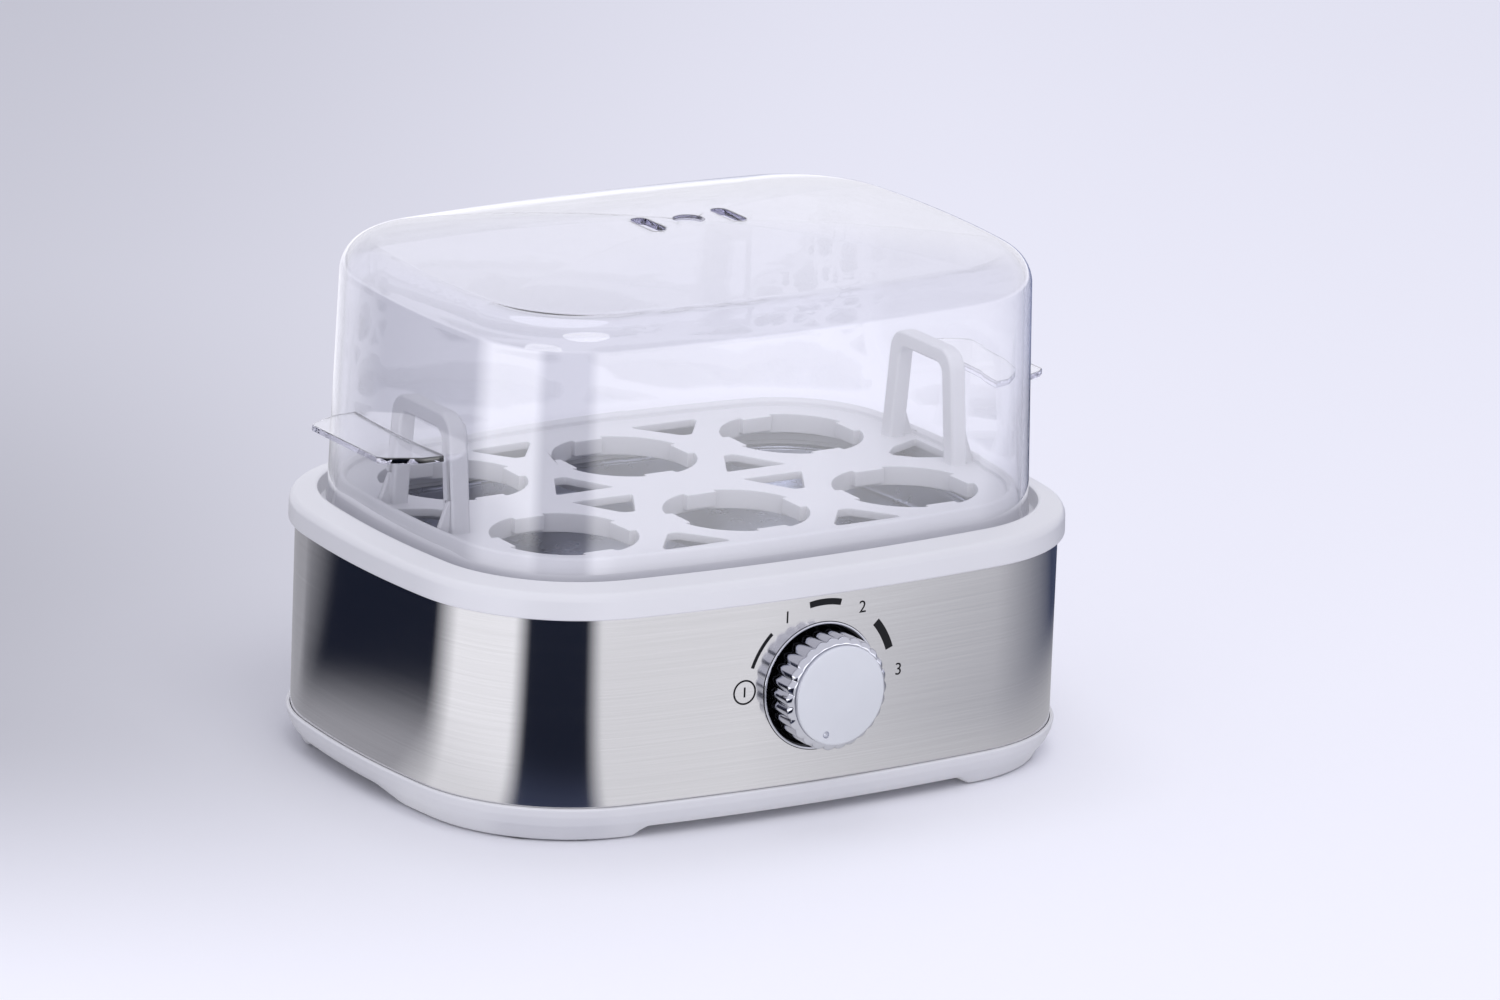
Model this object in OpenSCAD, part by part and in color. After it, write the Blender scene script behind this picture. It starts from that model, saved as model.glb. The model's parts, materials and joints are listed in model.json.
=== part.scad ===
// Six-egg steam cooker: steel-clad base with a rotary control, water pan, egg rack and clear lid.
// Millimetres, +Z up. The origin is on the floor, midway between the knob's face and the cord gland's tip.

/* [Body] */
// Half length of the steel body, from its centre to an end
half_l = 100; // [85:1:125]
// Half depth of the steel body, from its centre to the front
half_w = 75; // [64:1:94]
// Corner radius of the body's outline
corner_r = 45; // [36:1:54]
// How far the front and back bow out between their corners
front_bow = 9.2; // [7:0.1:12]
// How far the two ends bow out between their corners
end_bow = 10.2; // [8:0.1:13]
// Thickness of the steel band's sheet
sheet_t = 0.6; // [0.4:0.1:1]
// Wall of the moulded plastic parts
wall = 2; // [1.6:0.1:2.6]

/* [Heights] */
// Height of the feet below the base's raised edge
foot_h = 3; // [2:0.5:5]
// Top of the base's outer lip, where the steel starts to show
base_h = 10.6; // [9:0.1:14]
// Bottom edge of the collar, where the steel stops showing
collar_z = 63.4; // [58:0.1:76]
// Height of the collar from its bottom edge to its top
collar_h = 8.9; // [7.5:0.1:11]
// Depth of the water pan below its flange
pan_depth = 8.2; // [6:0.1:9]

/* [Egg rack] */
// Radius of an egg hole
egg_r = 20; // [18:0.5:21]
// Distance between hole columns
egg_dx = 54.5; // [50:0.5:58]
// Distance between the two hole rows
egg_dy = 58; // [54:0.5:62]
// Height of the rack's deck above the collar's ledge
deck_rise = 7.6; // [6:0.1:10]
// Height of the lifting bails above the deck
bail_h = 32; // [24:1:38]

/* [Lid] */
// Height of the lid from its lower edge to the top of its dome
lid_h = 82.1; // [70:0.1:100]
// Wall of the clear lid
lid_t = 2; // [1.6:0.1:2.6]
// Inward draft of the lid's wall from bottom to top
lid_draft = 2.1; // [1:0.1:4]
// Radius of the edge between wall and roof
lid_fillet = 10; // [6:0.5:14]
// Rise of the roof's dome
dome_h = 6.3; // [3:0.1:10]
// Length that a lifting tab stands out from the wall
tab_reach = 15.8; // [10:0.1:20]

/* [Knob] */
// Height of the knob's axis above the floor
knob_z = 37.5; // [34:0.5:40]
// Radius of the knob's grip over its ribs
grip_r = 16.2; // [13:0.1:17]
// Number of ribs round the grip
ribs = 26; // [18:1:32]
// How far the knob stands out from the steel
knob_out = 10.4; // [8:0.1:14]
// Radius of the control spindle
spindle_r = 3; // [2.5:0.1:3.5]

/* [Cord inlet] */
// Radius of the gland's bore, for a flexible mains cord
cord_r = 3.1; // [2.8:0.1:3.6]
// Height of the gland's axis above the floor
gland_z = 22; // [20:0.5:26]

/* [Hidden] */
$fn = 48;

// --- Outline: a rounded rectangle whose sides are shallow arcs, tangent to the corner arcs ---
front_r = (half_l * half_l + front_bow * front_bow) / (2 * front_bow);
end_r = (half_w * half_w + end_bow * end_bow) / (2 * end_bow);
front_c = [0, front_r - half_w];
end_c = [half_l - end_r, 0];
span = end_c - front_c;
span_l = norm(span);
along = (pow(front_r - corner_r, 2) - pow(end_r - corner_r, 2) + span_l * span_l) / (2 * span_l);
aside = sqrt(pow(front_r - corner_r, 2) - along * along);
corner_c = front_c + along * span / span_l + aside * [-span.y, span.x] / span_l;
front_a = atan2(corner_c.y - front_c.y, corner_c.x - front_c.x);
end_a = atan2(corner_c.y - end_c.y, corner_c.x - end_c.x);

function arc(c, r, a0, a1, n) = [for (i = [0:n]) c + r * [cos(a0 + (a1 - a0) * i / n), sin(a0 + (a1 - a0) * i / n)]];
// The front right quarter, from the middle of the front to the middle of the end, moved out by o
function quarter(o) = concat(
    arc(front_c, front_r + o, -90, front_a, 5),
    arc(corner_c, corner_r + o, front_a + (end_a - front_a) / 8, end_a - (end_a - front_a) / 8, 6),
    arc(end_c, end_r + o, end_a, 0, 4));
function head(v) = [for (i = [0:len(v) - 2]) v[i]];
function back(v) = [for (i = [len(v) - 1:-1:0]) v[i]];
function flip(v, sx, sy) = [for (p = v) [sx * p.x, sy * p.y]];
function outline(o) = let (q = quarter(o)) concat(
    head(q), head(back(flip(q, 1, -1))), head(flip(q, -1, -1)), head(back(flip(q, -1, 1))));
function ring(o, z) = [for (p = outline(o)) [p.x, p.y, z]];
function squeeze(o, s, z) = [for (p = outline(o)) [p.x * s, p.y * s, z]];
// A point on the outline's corner arc, at an angle in the front right quarter, moved out by o
function on_corner(o, a) = corner_c + (corner_r + o) * [cos(a), sin(a)];

// --- Heights that follow from the driving sizes ---
pad_h = 0.4;
floor_t = 2.4;
floor_z = foot_h + floor_t;
collar_top = collar_z + collar_h;
ledge_z = collar_z + 3.8;
ledge_t = wall;
seat_gap = 0.2;
gasket_t = 1;
pan_t = 1;
pan_top = ledge_z - ledge_t - gasket_t;
pan_bottom = pan_top - pan_t - pan_depth;
deck_top = ledge_z + deck_rise;
lid_bottom = ledge_z + seat_gap;
lid_top = lid_bottom + lid_h;

// --- Offsets from the outline, inward negative ---
fit_gap = 0.15;
collar_out = 1.9;
collar_in = -6.1;
ledge_in = -16;
lid_out = -8.1;
rack_out = lid_out - lid_t - 0.8;
flange_out = -12.5;
pan_in = -17.5;
post_off = -7.6;
post_r = 3.9;
post_a = -45;
post_z = 20;

// --- Knob and gland, along Y from the body's front and back ---
face_y = -half_w;
knob_front = face_y - knob_out;
bezel_r = grip_r + 1.7;
cup_floor_y = face_y + 3.5;
gland_tip = half_w + knob_out - 0.9;

// --- Fasteners ---
m3_r = 1.5;
m4_r = 1.9;
thread_gap = 0.05;

// Skins a stack of rings of equal count; a loop of rings closes on itself, others get end caps
module skin(rings, loop = false) {
    n = len(rings[0]);
    m = len(rings);
    steps = loop ? m : m - 1;
    sides = [for (i = [0:steps - 1], j = [0:n - 1]) let (a = i * n, b = ((i + 1) % m) * n, k = (j + 1) % n)
        each [[a + j, b + j, b + k], [a + j, b + k, a + k]]];
    caps = loop ? [] : [[for (j = [0:n - 1]) j], [for (j = [n - 1:-1:0]) (m - 1) * n + j]];
    polyhedron(points = [for (r = rings) each r], faces = concat(sides, caps), convexity = 8);
}
// Sweeps a section of [offset, z] points once round the outline
module sweep(section) skin([for (p = section) ring(p[0], p[1])], loop = true);
// The same for an open section that starts under a floor and ends on top of it
module lathe(section) skin([for (p = section) ring(p[0], p[1])]);
module plate(o, z, t) translate([0, 0, z]) linear_extrude(t) polygon(outline(o));
module corners(o, a) for (sx = [-1, 1], sy = [-1, 1]) {
    p = on_corner(o, a);
    translate([sx * p.x, -sy * p.y, 0]) children();
}
module along_y(x, z, y0, y1, r) translate([x, y0, z]) rotate([-90, 0, 0]) cylinder(r = r, h = y1 - y0);
module box(a, b) translate(a) cube(b - a);
// A screw with its head down, its shank from z0 up to z1
module screw_up(r, head_r, head_h, z0, z1) {
    translate([0, 0, z0 - head_h]) cylinder(r = head_r, h = head_h);
    translate([0, 0, z0 - head_h / 2]) cylinder(r = r, h = z1 - z0 + head_h / 2);
}
module screw_down(r, head_r, head_h, z0, z1) translate([0, 0, z0 + z1]) mirror([0, 0, 1])
    screw_up(r, head_r, head_h, z0, z1);

// ---------------------------------------------------------------- base
base_lip = 1.2;
rib_in = -1.9;
rib_out = -0.9;
groove_z = base_h - 1.6;
rib_top = base_h + 2.4;
foot_x = 52;
foot_front_y = -11;
foot_back_y = 36;
clamp_x = 10;
clamp_y = half_w - 22;
bracket_z = 9;
bracket_x = 12;
block_x = 34;
block_y = 34;
boss_r = 4;
pad_r = 3.2;
pad_a = -70;
pad_off = -8.2;
module base_tray() color("white") difference() {
    union() {
        lathe([[-3.2, foot_h], [-2.2, foot_h + 0.5], [-0.6, foot_h + 2.2], [0.8, base_h - 2.6],
            [base_lip + 0.05, base_h - 0.6], [base_lip, base_h], [fit_gap, base_h], [fit_gap, groove_z],
            [rib_out, groove_z], [rib_out, rib_top], [rib_in, rib_top], [rib_in, floor_z]]);
        feet();
        corners(post_off, post_a) translate([0, 0, foot_h]) cylinder(r = post_r + 0.8, h = post_z - foot_h);
        for (s = [-1, 1]) {
            translate([s * bracket_x, face_y + 15, foot_h]) cylinder(r = boss_r, h = bracket_z - foot_h);
            translate([s * clamp_x, clamp_y, foot_h]) cylinder(r = boss_r, h = gland_z - cord_r - foot_h);
        }
    }
    corners(post_off, post_a) {
        translate([0, 0, -1]) cylinder(r = 3.7, h = post_z - 4);
        cylinder(r = m4_r + 0.2, h = post_z + 1);
    }
    for (s = [-1, 1]) {
        translate([s * bracket_x, face_y + 15, foot_h + 1]) cylinder(r = m3_r + thread_gap, h = bracket_z);
        translate([s * clamp_x, clamp_y, foot_h + 1]) cylinder(r = m3_r + thread_gap, h = gland_z);
    }
    corners(pad_off, pad_a) cylinder(r = pad_r + thread_gap, h = pad_h + 1.2);
    for (x = [-30:12:30]) box([x - 1.5, -14, foot_h - 1], [x + 1.5, 14, floor_z + 1]);
}
module feet() intersection() {
    translate([0, 0, pad_h]) linear_extrude(foot_h) difference() {
        polygon(outline(-3.9));
        polygon(outline(-12.6));
    }
    for (s = [-1, 1]) {
        box([s > 0 ? foot_x : -half_l - 9, -half_w - 9, 0], [s > 0 ? half_l + 9 : -foot_x, foot_front_y, 9]);
        box([s > 0 ? foot_x : -half_l - 9, foot_back_y, 0], [s > 0 ? half_l + 9 : -foot_x, half_w + 9, 9]);
    }
}
module foot_pads() color("dimgray") corners(pad_off, pad_a) cylinder(r = pad_r, h = pad_h + 1.2);
module base_screws() color("silver") corners(post_off, post_a) screw_up(m4_r, 3.4, 2.4, post_z - 5, post_z + 14);

// ---------------------------------------------------------------- steel band
band_z0 = groove_z + fit_gap;
band_z1 = collar_z + 1.65;
module steel_band() color("lightgray") difference() {
    translate([0, 0, band_z0]) linear_extrude(band_z1 - band_z0) difference() {
        polygon(outline(0));
        polygon(outline(-sheet_t));
    }
    along_y(0, knob_z, face_y - 5, face_y + 8, bezel_r + 0.15);
    along_y(0, gland_z, half_w - 8, half_w + 5, cord_r + 1.95);
}

// ---------------------------------------------------------------- collar
module collar() color("whitesmoke") difference() {
    union() {
        sweep([[collar_out, collar_z], [1.75, collar_z + 5.6], [1.2, collar_z + 6.9], [-0.6, collar_z + 7.8],
            [-4.4, collar_top - 0.1], [-5.2, collar_top], [-5.8, collar_top - 0.3], [collar_in, ledge_z],
            [ledge_in, ledge_z], [ledge_in, ledge_z - ledge_t], [rib_in, ledge_z - ledge_t],
            [rib_in, pan_top - pan_t], [rib_out, pan_top - pan_t], [rib_out, ledge_z - ledge_t],
            [fit_gap, ledge_z - ledge_t], [fit_gap, collar_z]]);
        corners(post_off, post_a) translate([0, 0, post_z]) cylinder(r = post_r, h = ledge_z - 0.5 - post_z);
    }
    corners(post_off, post_a) translate([0, 0, post_z - 1]) cylinder(r = m4_r + thread_gap, h = 16.5);
    ears() translate([0, 0, ledge_z - ledge_t - 1]) cylinder(r = screw_r + thread_gap, h = 6.2);
}

// ---------------------------------------------------------------- water pan
ear_off = -4.2;
ear_edge = rib_in - fit_gap;
ear_w = 9;
screw_r = 1.2;
// Places children at the pan's four fixing ears, in the middle of each side
module ears() for (s = [-1, 1]) {
    translate([0, s * (half_w + ear_off), 0]) children();
    translate([s * (half_l + ear_off), 0, 0]) children();
}
module ear_bar(t) for (s = [0, 180]) rotate([0, 0, s]) {
    box([-ear_w / 2, half_w + flange_out - 1, 0], [ear_w / 2, half_w + ear_edge, t]);
    box([half_l + flange_out - 1, -ear_w / 2, 0], [half_l + ear_edge, ear_w / 2, t]);
}
stud_x = 12;
stud_y = 8;
stud_l = 10;
tag_stud_l = 8;
weld_in = 0.2;
tag_y = 26;
tag_x = -3;
module water_pan() color("darkgray") difference() {
    union() {
        lathe([[pan_in - 5, pan_bottom], [pan_in - 2.4, pan_bottom + 0.5], [pan_in - 0.8, pan_bottom + 2.6],
            [pan_in, pan_top - pan_t], [flange_out, pan_top - pan_t], [flange_out, pan_top],
            [pan_in + 1, pan_top], [pan_in + 0.3, pan_bottom + 3.4], [pan_in - 1.9, pan_bottom + 1.6],
            [pan_in - 5, pan_bottom + pan_t]]);
        translate([0, 0, pan_top - pan_t]) ear_bar(pan_t);
        for (s = [-1, 1]) translate([s * stud_x, stud_y, pan_bottom - stud_l])
            cylinder(r = m3_r, h = stud_l + weld_in);
        translate([-stud_x, tag_y, pan_bottom - tag_stud_l]) cylinder(r = m3_r, h = tag_stud_l + weld_in);
    }
    ears() translate([0, 0, pan_top - 3]) cylinder(r = screw_r + 0.1, h = 5);
}
module pan_gasket() color("gainsboro") difference() {
    union() {
        translate([0, 0, pan_top]) linear_extrude(gasket_t) difference() {
            polygon(outline(flange_out + 0.6));
            polygon(outline(ledge_in));
        }
        translate([0, 0, pan_top]) ear_bar(gasket_t);
    }
    ears() translate([0, 0, pan_top - 3]) cylinder(r = screw_r + 0.1, h = 5);
}
module pan_screws() color("silver") ears()
    screw_up(screw_r, 2.1, 1.6, pan_top - pan_t, pan_top + gasket_t + ledge_t + 2.9);

// ---------------------------------------------------------------- heater, cut-outs and their clips
coil_r = 38;
tube_r = 3.3;
coil_end_a = 24;
leg_r = 3.7;
pin_z = pan_bottom - 17;
coil_z = pan_bottom - tube_r + 0.6;
module heating_element() color("slategray") difference() {
    union() {
        rotate([0, 0, coil_end_a]) translate([0, 0, coil_z])
            rotate_extrude(angle = 360 - 2 * coil_end_a, $fn = 96) translate([coil_r, 0]) circle(r = tube_r);
        for (s = [-1, 1]) translate([coil_r * cos(coil_end_a), s * coil_r * sin(coil_end_a), 0]) {
            translate([0, 0, pan_bottom - 11]) cylinder(r = leg_r, h = 13);
            translate([0, 0, pin_z]) cylinder(r = 1.2, h = 8);
        }
    }
    plate(-10, pan_bottom, 9);
}
cap_h = 6;
module snap_thermostat() color("tan") translate([0, stud_y, 0]) {
    translate([0, 0, pan_bottom - cap_h]) cylinder(r = 8, h = cap_h);
    translate([0, 0, pan_bottom - cap_h - 6]) cylinder(r = 7, h = 6.5);
    for (s = [-1, 1]) box([s * 4 - 0.4, -3.1, pan_bottom - cap_h - 13], [s * 4 + 0.4, 3.1, pan_bottom - cap_h - 5]);
}
strap_z = pan_bottom - cap_h - 1.2;
module thermostat_strap() color("silver") difference() {
    box([-17, stud_y - 9.5, strap_z], [17, stud_y + 9.5, pan_bottom - cap_h]);
    translate([0, stud_y, strap_z - 1]) cylinder(r = 7.1, h = 4);
    for (s = [-1, 1]) translate([s * stud_x, stud_y, strap_z - 1]) cylinder(r = m3_r + 0.15, h = 4);
}
module hex_nut(flat_r, bore, h) difference() {
    cylinder(r = flat_r, h = h, $fn = 6);
    translate([0, 0, -1]) cylinder(r = bore, h = h + 2);
}
module strap_nuts() color("silver") {
    for (s = [-1, 1]) translate([s * stud_x, stud_y, strap_z - 2.4]) hex_nut(3.1, m3_r + thread_gap, 2.4);
    translate([-stud_x, tag_y, pan_bottom - 4.2]) hex_nut(3.1, m3_r + thread_gap, 2.4);
}
fuse_y = -20;
fuse_r = 2.1;
fuse_z = pan_bottom - fuse_r - 0.3;
module along_x(x0, x1, y, z, r) translate([x0, y, z]) rotate([0, 90, 0]) cylinder(r = r, h = x1 - x0);
module thermal_fuse() color("white") {
    along_x(-7, 7, fuse_y, fuse_z, fuse_r);
    along_x(-11, 11, fuse_y, fuse_z, 0.6);
}
module fuse_clip() color("silver") translate([-3, 0, 0]) rotate([90, 0, 90]) linear_extrude(6) difference() {
    translate([fuse_y - 8, fuse_z - fuse_r - 0.9]) square([11, pan_bottom - fuse_z + fuse_r + 0.9]);
    translate([fuse_y, fuse_z]) circle(r = fuse_r + thread_gap);
    translate([fuse_y - fuse_r - thread_gap, fuse_z]) square([2 * (fuse_r + thread_gap), 9]);
    translate([fuse_y - 9, fuse_z - 9]) square([6, pan_bottom - fuse_z + 8]);
}

// ---------------------------------------------------------------- rotary control
body_y0 = cup_floor_y + 2.8;
body_y1 = body_y0 + 16;
bush_r = 4.5;
nut_t = 2.2;
bracket_y = cup_floor_y + 1.5;
bracket_t = 1.2;
term_z = knob_z - 5;
module control_body() color("saddlebrown") difference() {
    union() {
        box([-14, body_y0, knob_z - 12], [14, body_y1, knob_z + 12]);
        along_y(0, knob_z, cup_floor_y - nut_t - 0.5, body_y0 + 1, bush_r);
        for (s = [-1, 1]) box([s * 8 - 3.1, body_y1 - 1, term_z - 0.4], [s * 8 + 3.1, body_y1 + 7, term_z + 0.4]);
    }
    along_y(0, knob_z, cup_floor_y - 9, body_y1 - 4, spindle_r + thread_gap);
}
module control_bracket() color("silver") difference() {
    union() {
        box([-17, bracket_y, bracket_z], [17, bracket_y + bracket_t, knob_z + 14]);
        box([-17, bracket_y, bracket_z], [17, face_y + 21, bracket_z + bracket_t]);
    }
    along_y(0, knob_z, bracket_y - 2, bracket_y + 4, bush_r + 0.1);
    for (s = [-1, 1]) translate([s * bracket_x, face_y + 15, bracket_z - 1]) cylinder(r = m3_r + 0.2, h = 5);
}
module control_nut() color("gold") translate([0, cup_floor_y, knob_z]) rotate([90, 0, 0])
    hex_nut(7, bush_r + thread_gap, nut_t);
module bracket_screws() color("silver") for (s = [-1, 1]) translate([s * bracket_x, face_y + 15, 0])
    screw_down(m3_r, 2.8, 1.8, foot_h + 1.4, bracket_z + bracket_t);

flat_d = 0.7;
spring_t = 0.35;
boss_y = cup_floor_y - 4.5;
spindle_y = knob_front + 3.4;
module control_spindle() color("silver") difference() {
    along_y(0, knob_z, spindle_y, body_y1 - 5, spindle_r);
    box([-9, spindle_y - 1, knob_z + spindle_r - flat_d], [9, boss_y, knob_z + 9]);
}
grip_y0 = knob_front + 1;
grip_y1 = cup_floor_y - 0.7;
cap_r = grip_r - 2.25;
rib_depth = 0.45;
function scallop(r, depth, n) = [for (i = [0:n * 6 - 1]) let (a = 60 * i / n)
    (r - depth + depth * cos(n * a)) * [cos(a), sin(a)]];
module knob_grip() color("silver") difference() {
    translate([0, grip_y1, knob_z]) rotate([90, 0, 0]) linear_extrude(grip_y1 - grip_y0)
        polygon(scallop(grip_r, rib_depth, ribs));
    difference() {
        along_y(0, knob_z, knob_front + 4.5, grip_y1 + 1, grip_r - 3);
        along_y(0, knob_z, knob_front, boss_y, spindle_r + 2.6);
    }
    difference() {
        along_y(0, knob_z, spindle_y - 0.2, grip_y1 + 1, spindle_r + 0.02);
        box([-9, spindle_y - 1, knob_z + spindle_r - flat_d + spring_t + 0.1], [9, boss_y + 1, knob_z + 9]);
    }
    along_y(0, knob_z, knob_front - 1, knob_front + 2.5, cap_r + 0.05);
}
module knob_cap() color("whitesmoke") difference() {
    along_y(0, knob_z, knob_front, knob_front + 2.5, cap_r);
    translate([11.3 * cos(pointer_a), knob_front, knob_z + 11.3 * sin(pointer_a)]) sphere(r = 0.9, $fn = 24);
}
pointer_a = -112;
module knob_spring() color("silver")
    box([-1.3, spindle_y + 0.6, knob_z + spindle_r - flat_d + 0.02], [1.3, boss_y - 0.4,
        knob_z + spindle_r - flat_d + spring_t]);
module knob_bezel() color("black") difference() {
    union() {
        along_y(0, knob_z, face_y + 1.1, face_y + 2.3, bezel_r + 3);
        along_y(0, knob_z, face_y + 2, cup_floor_y + 1.4, bezel_r + 0.2);
    }
    along_y(0, knob_z, face_y - 1, cup_floor_y, bezel_r - 1);
    along_y(0, knob_z, cup_floor_y - 1, cup_floor_y + 9, bush_r + 0.1);
}
module bezel_trim() color("silver") difference() {
    along_y(0, knob_z, face_y - 0.3, face_y + 1.1, bezel_r);
    along_y(0, knob_z, face_y - 1, face_y + 2, bezel_r - 0.7);
}

// ---------------------------------------------------------------- mains inlet and wiring
block_h = 13;
pole = 9;
way_r = 1.9;
way_z = floor_z + 5;
module terminal_block() color("ivory") difference() {
    box([block_x - 1.5 * pole, block_y - 9, floor_z], [block_x + 1.5 * pole, block_y + 9, floor_z + block_h]);
    for (i = [-1:1]) {
        along_y(block_x + i * pole, way_z, block_y - 10, block_y + 10, way_r);
        for (s = [-1, 1]) translate([block_x + i * pole, block_y + s * 5, way_z]) cylinder(r = 1.85, h = block_h);
    }
}
module terminal_screws() color("gold") for (i = [-1:1], s = [-1, 1])
    translate([block_x + i * pole, block_y + s * 5, way_z + 1.6]) cylinder(r = 1.8, h = 4.5);

// A wire on one cubic curve from a to d, leaving towards b and arriving from c
function curve(a, b, c, d, t) = pow(1 - t, 3) * a + 3 * pow(1 - t, 2) * t * b + 3 * (1 - t) * t * t * c + t * t * t * d;
function slope(a, b, c, d, t) = pow(1 - t, 2) * (b - a) + 2 * (1 - t) * t * (c - b) + t * t * (d - c);
function unit(v) = v / norm(v);
wire_rings = 18;
wire_sides = 8;
module wire(a, b, c, d, r) {
    skin([for (i = [0:wire_rings]) let (t = i / wire_rings, p = curve(a, b, c, d, t), f = unit(slope(a, b, c, d, t)),
            u = unit(cross(f, abs(f.z) > 0.9 ? [1, 0, 0] : [0, 0, 1])), v = cross(f, u))
        [for (j = [0:wire_sides - 1]) p - r * (cos(360 * j / wire_sides) * u + sin(360 * j / wire_sides) * v)]]);
}
wire_r = 1.1;
leg_x = coil_r * cos(coil_end_a);
leg_y = coil_r * sin(coil_end_a);
snap_z = pan_bottom - cap_h - 13;
function pole_in(i) = [block_x + i * pole, block_y - 8, way_z];
module live_wire() color("brown")
    wire(pole_in(-1), pole_in(-1) - [0, 30, 0], [8, body_y1 + 40, term_z], [8, body_y1 + 7, term_z], wire_r);
module control_wire() color("black") wire([-8, body_y1 + 7, term_z], [-8, body_y1 + 22, term_z],
    [-34, fuse_y, fuse_z], [-11, fuse_y, fuse_z], wire_r);
module fuse_wire() color("red") wire([11, fuse_y, fuse_z], [26, fuse_y, fuse_z], [4, stud_y, snap_z - 14],
    [4, stud_y, snap_z], wire_r);
module heater_wire() color("red") wire([-4, stud_y, snap_z], [-4, stud_y, snap_z - 14],
    [leg_x, leg_y, pin_z - 16], [leg_x, leg_y, pin_z], wire_r);
module neutral_wire() color("blue")
    wire(pole_in(0), pole_in(0) - [0, 16, 0], [leg_x, -leg_y, pin_z - 20], [leg_x, -leg_y, pin_z], wire_r);
module earth_wire() color("green")
    wire(pole_in(1), pole_in(1) - [0, 22, 0], [20, tag_y, pan_bottom - 1.3], [tag_x, tag_y, pan_bottom - 1.3], wire_r);
module earth_tag() color("silver") difference() {
    union() {
        translate([-stud_x, tag_y, pan_bottom - 1.8]) cylinder(r = 3.4, h = 1);
        box([-stud_x, tag_y - 2, pan_bottom - 1.8], [tag_x, tag_y + 2, pan_bottom - 0.8]);
    }
    translate([-stud_x, tag_y, pan_bottom - 3]) cylinder(r = m3_r + thread_gap, h = 4);
}
module cord_gland() color("gainsboro") translate([0, half_w, gland_z]) rotate([-90, 0, 0]) difference() {
    union() {
        translate([0, 0, 0.05]) cylinder(r = 6.6, h = 2.4);
        translate([0, 0, 2]) cylinder(r1 = 5.8, r2 = 4.9, h = gland_tip - half_w - 2);
        translate([0, 0, -3]) cylinder(r = cord_r + 1.8, h = 4);
        translate([0, 0, -4.2]) cylinder(r = 6.6, h = 3.4);
    }
    translate([0, 0, -9]) cylinder(r = cord_r, h = 40);
}
clamp_z = gland_z + cord_r - 0.8;
module cord_clamp() color("dimgray") difference() {
    box([-clamp_x - 4, clamp_y - 4, gland_z - cord_r], [clamp_x + 4, clamp_y + 4, clamp_z + 3]);
    along_y(0, gland_z, clamp_y - 9, clamp_y + 9, cord_r - 0.2);
    box([-cord_r + 0.2, clamp_y - 9, gland_z - 9], [cord_r - 0.2, clamp_y + 9, gland_z]);
    for (s = [-1, 1]) translate([s * clamp_x, clamp_y, 0]) cylinder(r = m3_r + 0.15, h = 60);
}
module clamp_screws() color("silver") for (s = [-1, 1]) translate([s * clamp_x, clamp_y, 0])
    screw_down(m3_r, 2.8, 1.8, foot_h + 4, clamp_z + 3);

// ---------------------------------------------------------------- egg rack
deck_t = 2.4;
skirt_t = 2.2;
skirt_h = 5.6;
lug_w = 9.5;
lug_in = 2.5;
lug_h = 4.4;
rim_crest = deck_top + 2.3;
module egg_places() for (i = [-1:1], s = [-1, 1]) translate([i * egg_dx, s * egg_dy / 2, 0]) children();
bail_x = half_l - 20.5;
bail_w = 5;
bail_foot = 18.5;
bail_top = 15;
module bail() rotate([90, 0, 90]) linear_extrude(bail_w, center = true) difference() {
    polygon([[-bail_foot, -1], [bail_foot, -1], [bail_top, bail_h - 5.5], [bail_top - 1.6, bail_h - 2],
        [bail_top - 5, bail_h], [5 - bail_top, bail_h], [1.6 - bail_top, bail_h - 2], [-bail_top, bail_h - 5.5]]);
    polygon([[-bail_foot + bail_w, -2], [bail_foot - bail_w, -2], [bail_top - 4.7, bail_h - 7],
        [bail_top - 7, bail_h - 4.6], [7 - bail_top, bail_h - 4.6], [4.7 - bail_top, bail_h - 7]]);
}
module gusset() rotate([90, 0, 0]) linear_extrude(1.6, center = true) polygon([[0, -1], [3.9, -1], [3.9, 0], [0, 9]]);
steam_x = egg_dx / 2;
module steam_slots() {
    for (sx = [-1, 1], sy = [-1, 1]) scale([sx, sy]) {
        polygon([[steam_x - 9, 4.4], [steam_x + 9, 4.4], [steam_x + 8, 6], [steam_x + 1, 17.6], [steam_x - 1, 17.6],
            [steam_x - 8, 6]]);
        polygon([[steam_x - 1, 41], [steam_x + 1, 41], [steam_x + 9.4, 51.4], [steam_x + 9.6, 52.8],
            [steam_x - 9.6, 52.8], [steam_x - 9.4, 51.4]]);
    }
    for (s = [-1, 1]) scale([s, 1])
        polygon([[69.5, -1], [69.5, 1], [74, 5.4], [half_l - 16.6, 9.6], [half_l - 16.6, -9.6], [74, -5.4]]);
}
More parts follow.
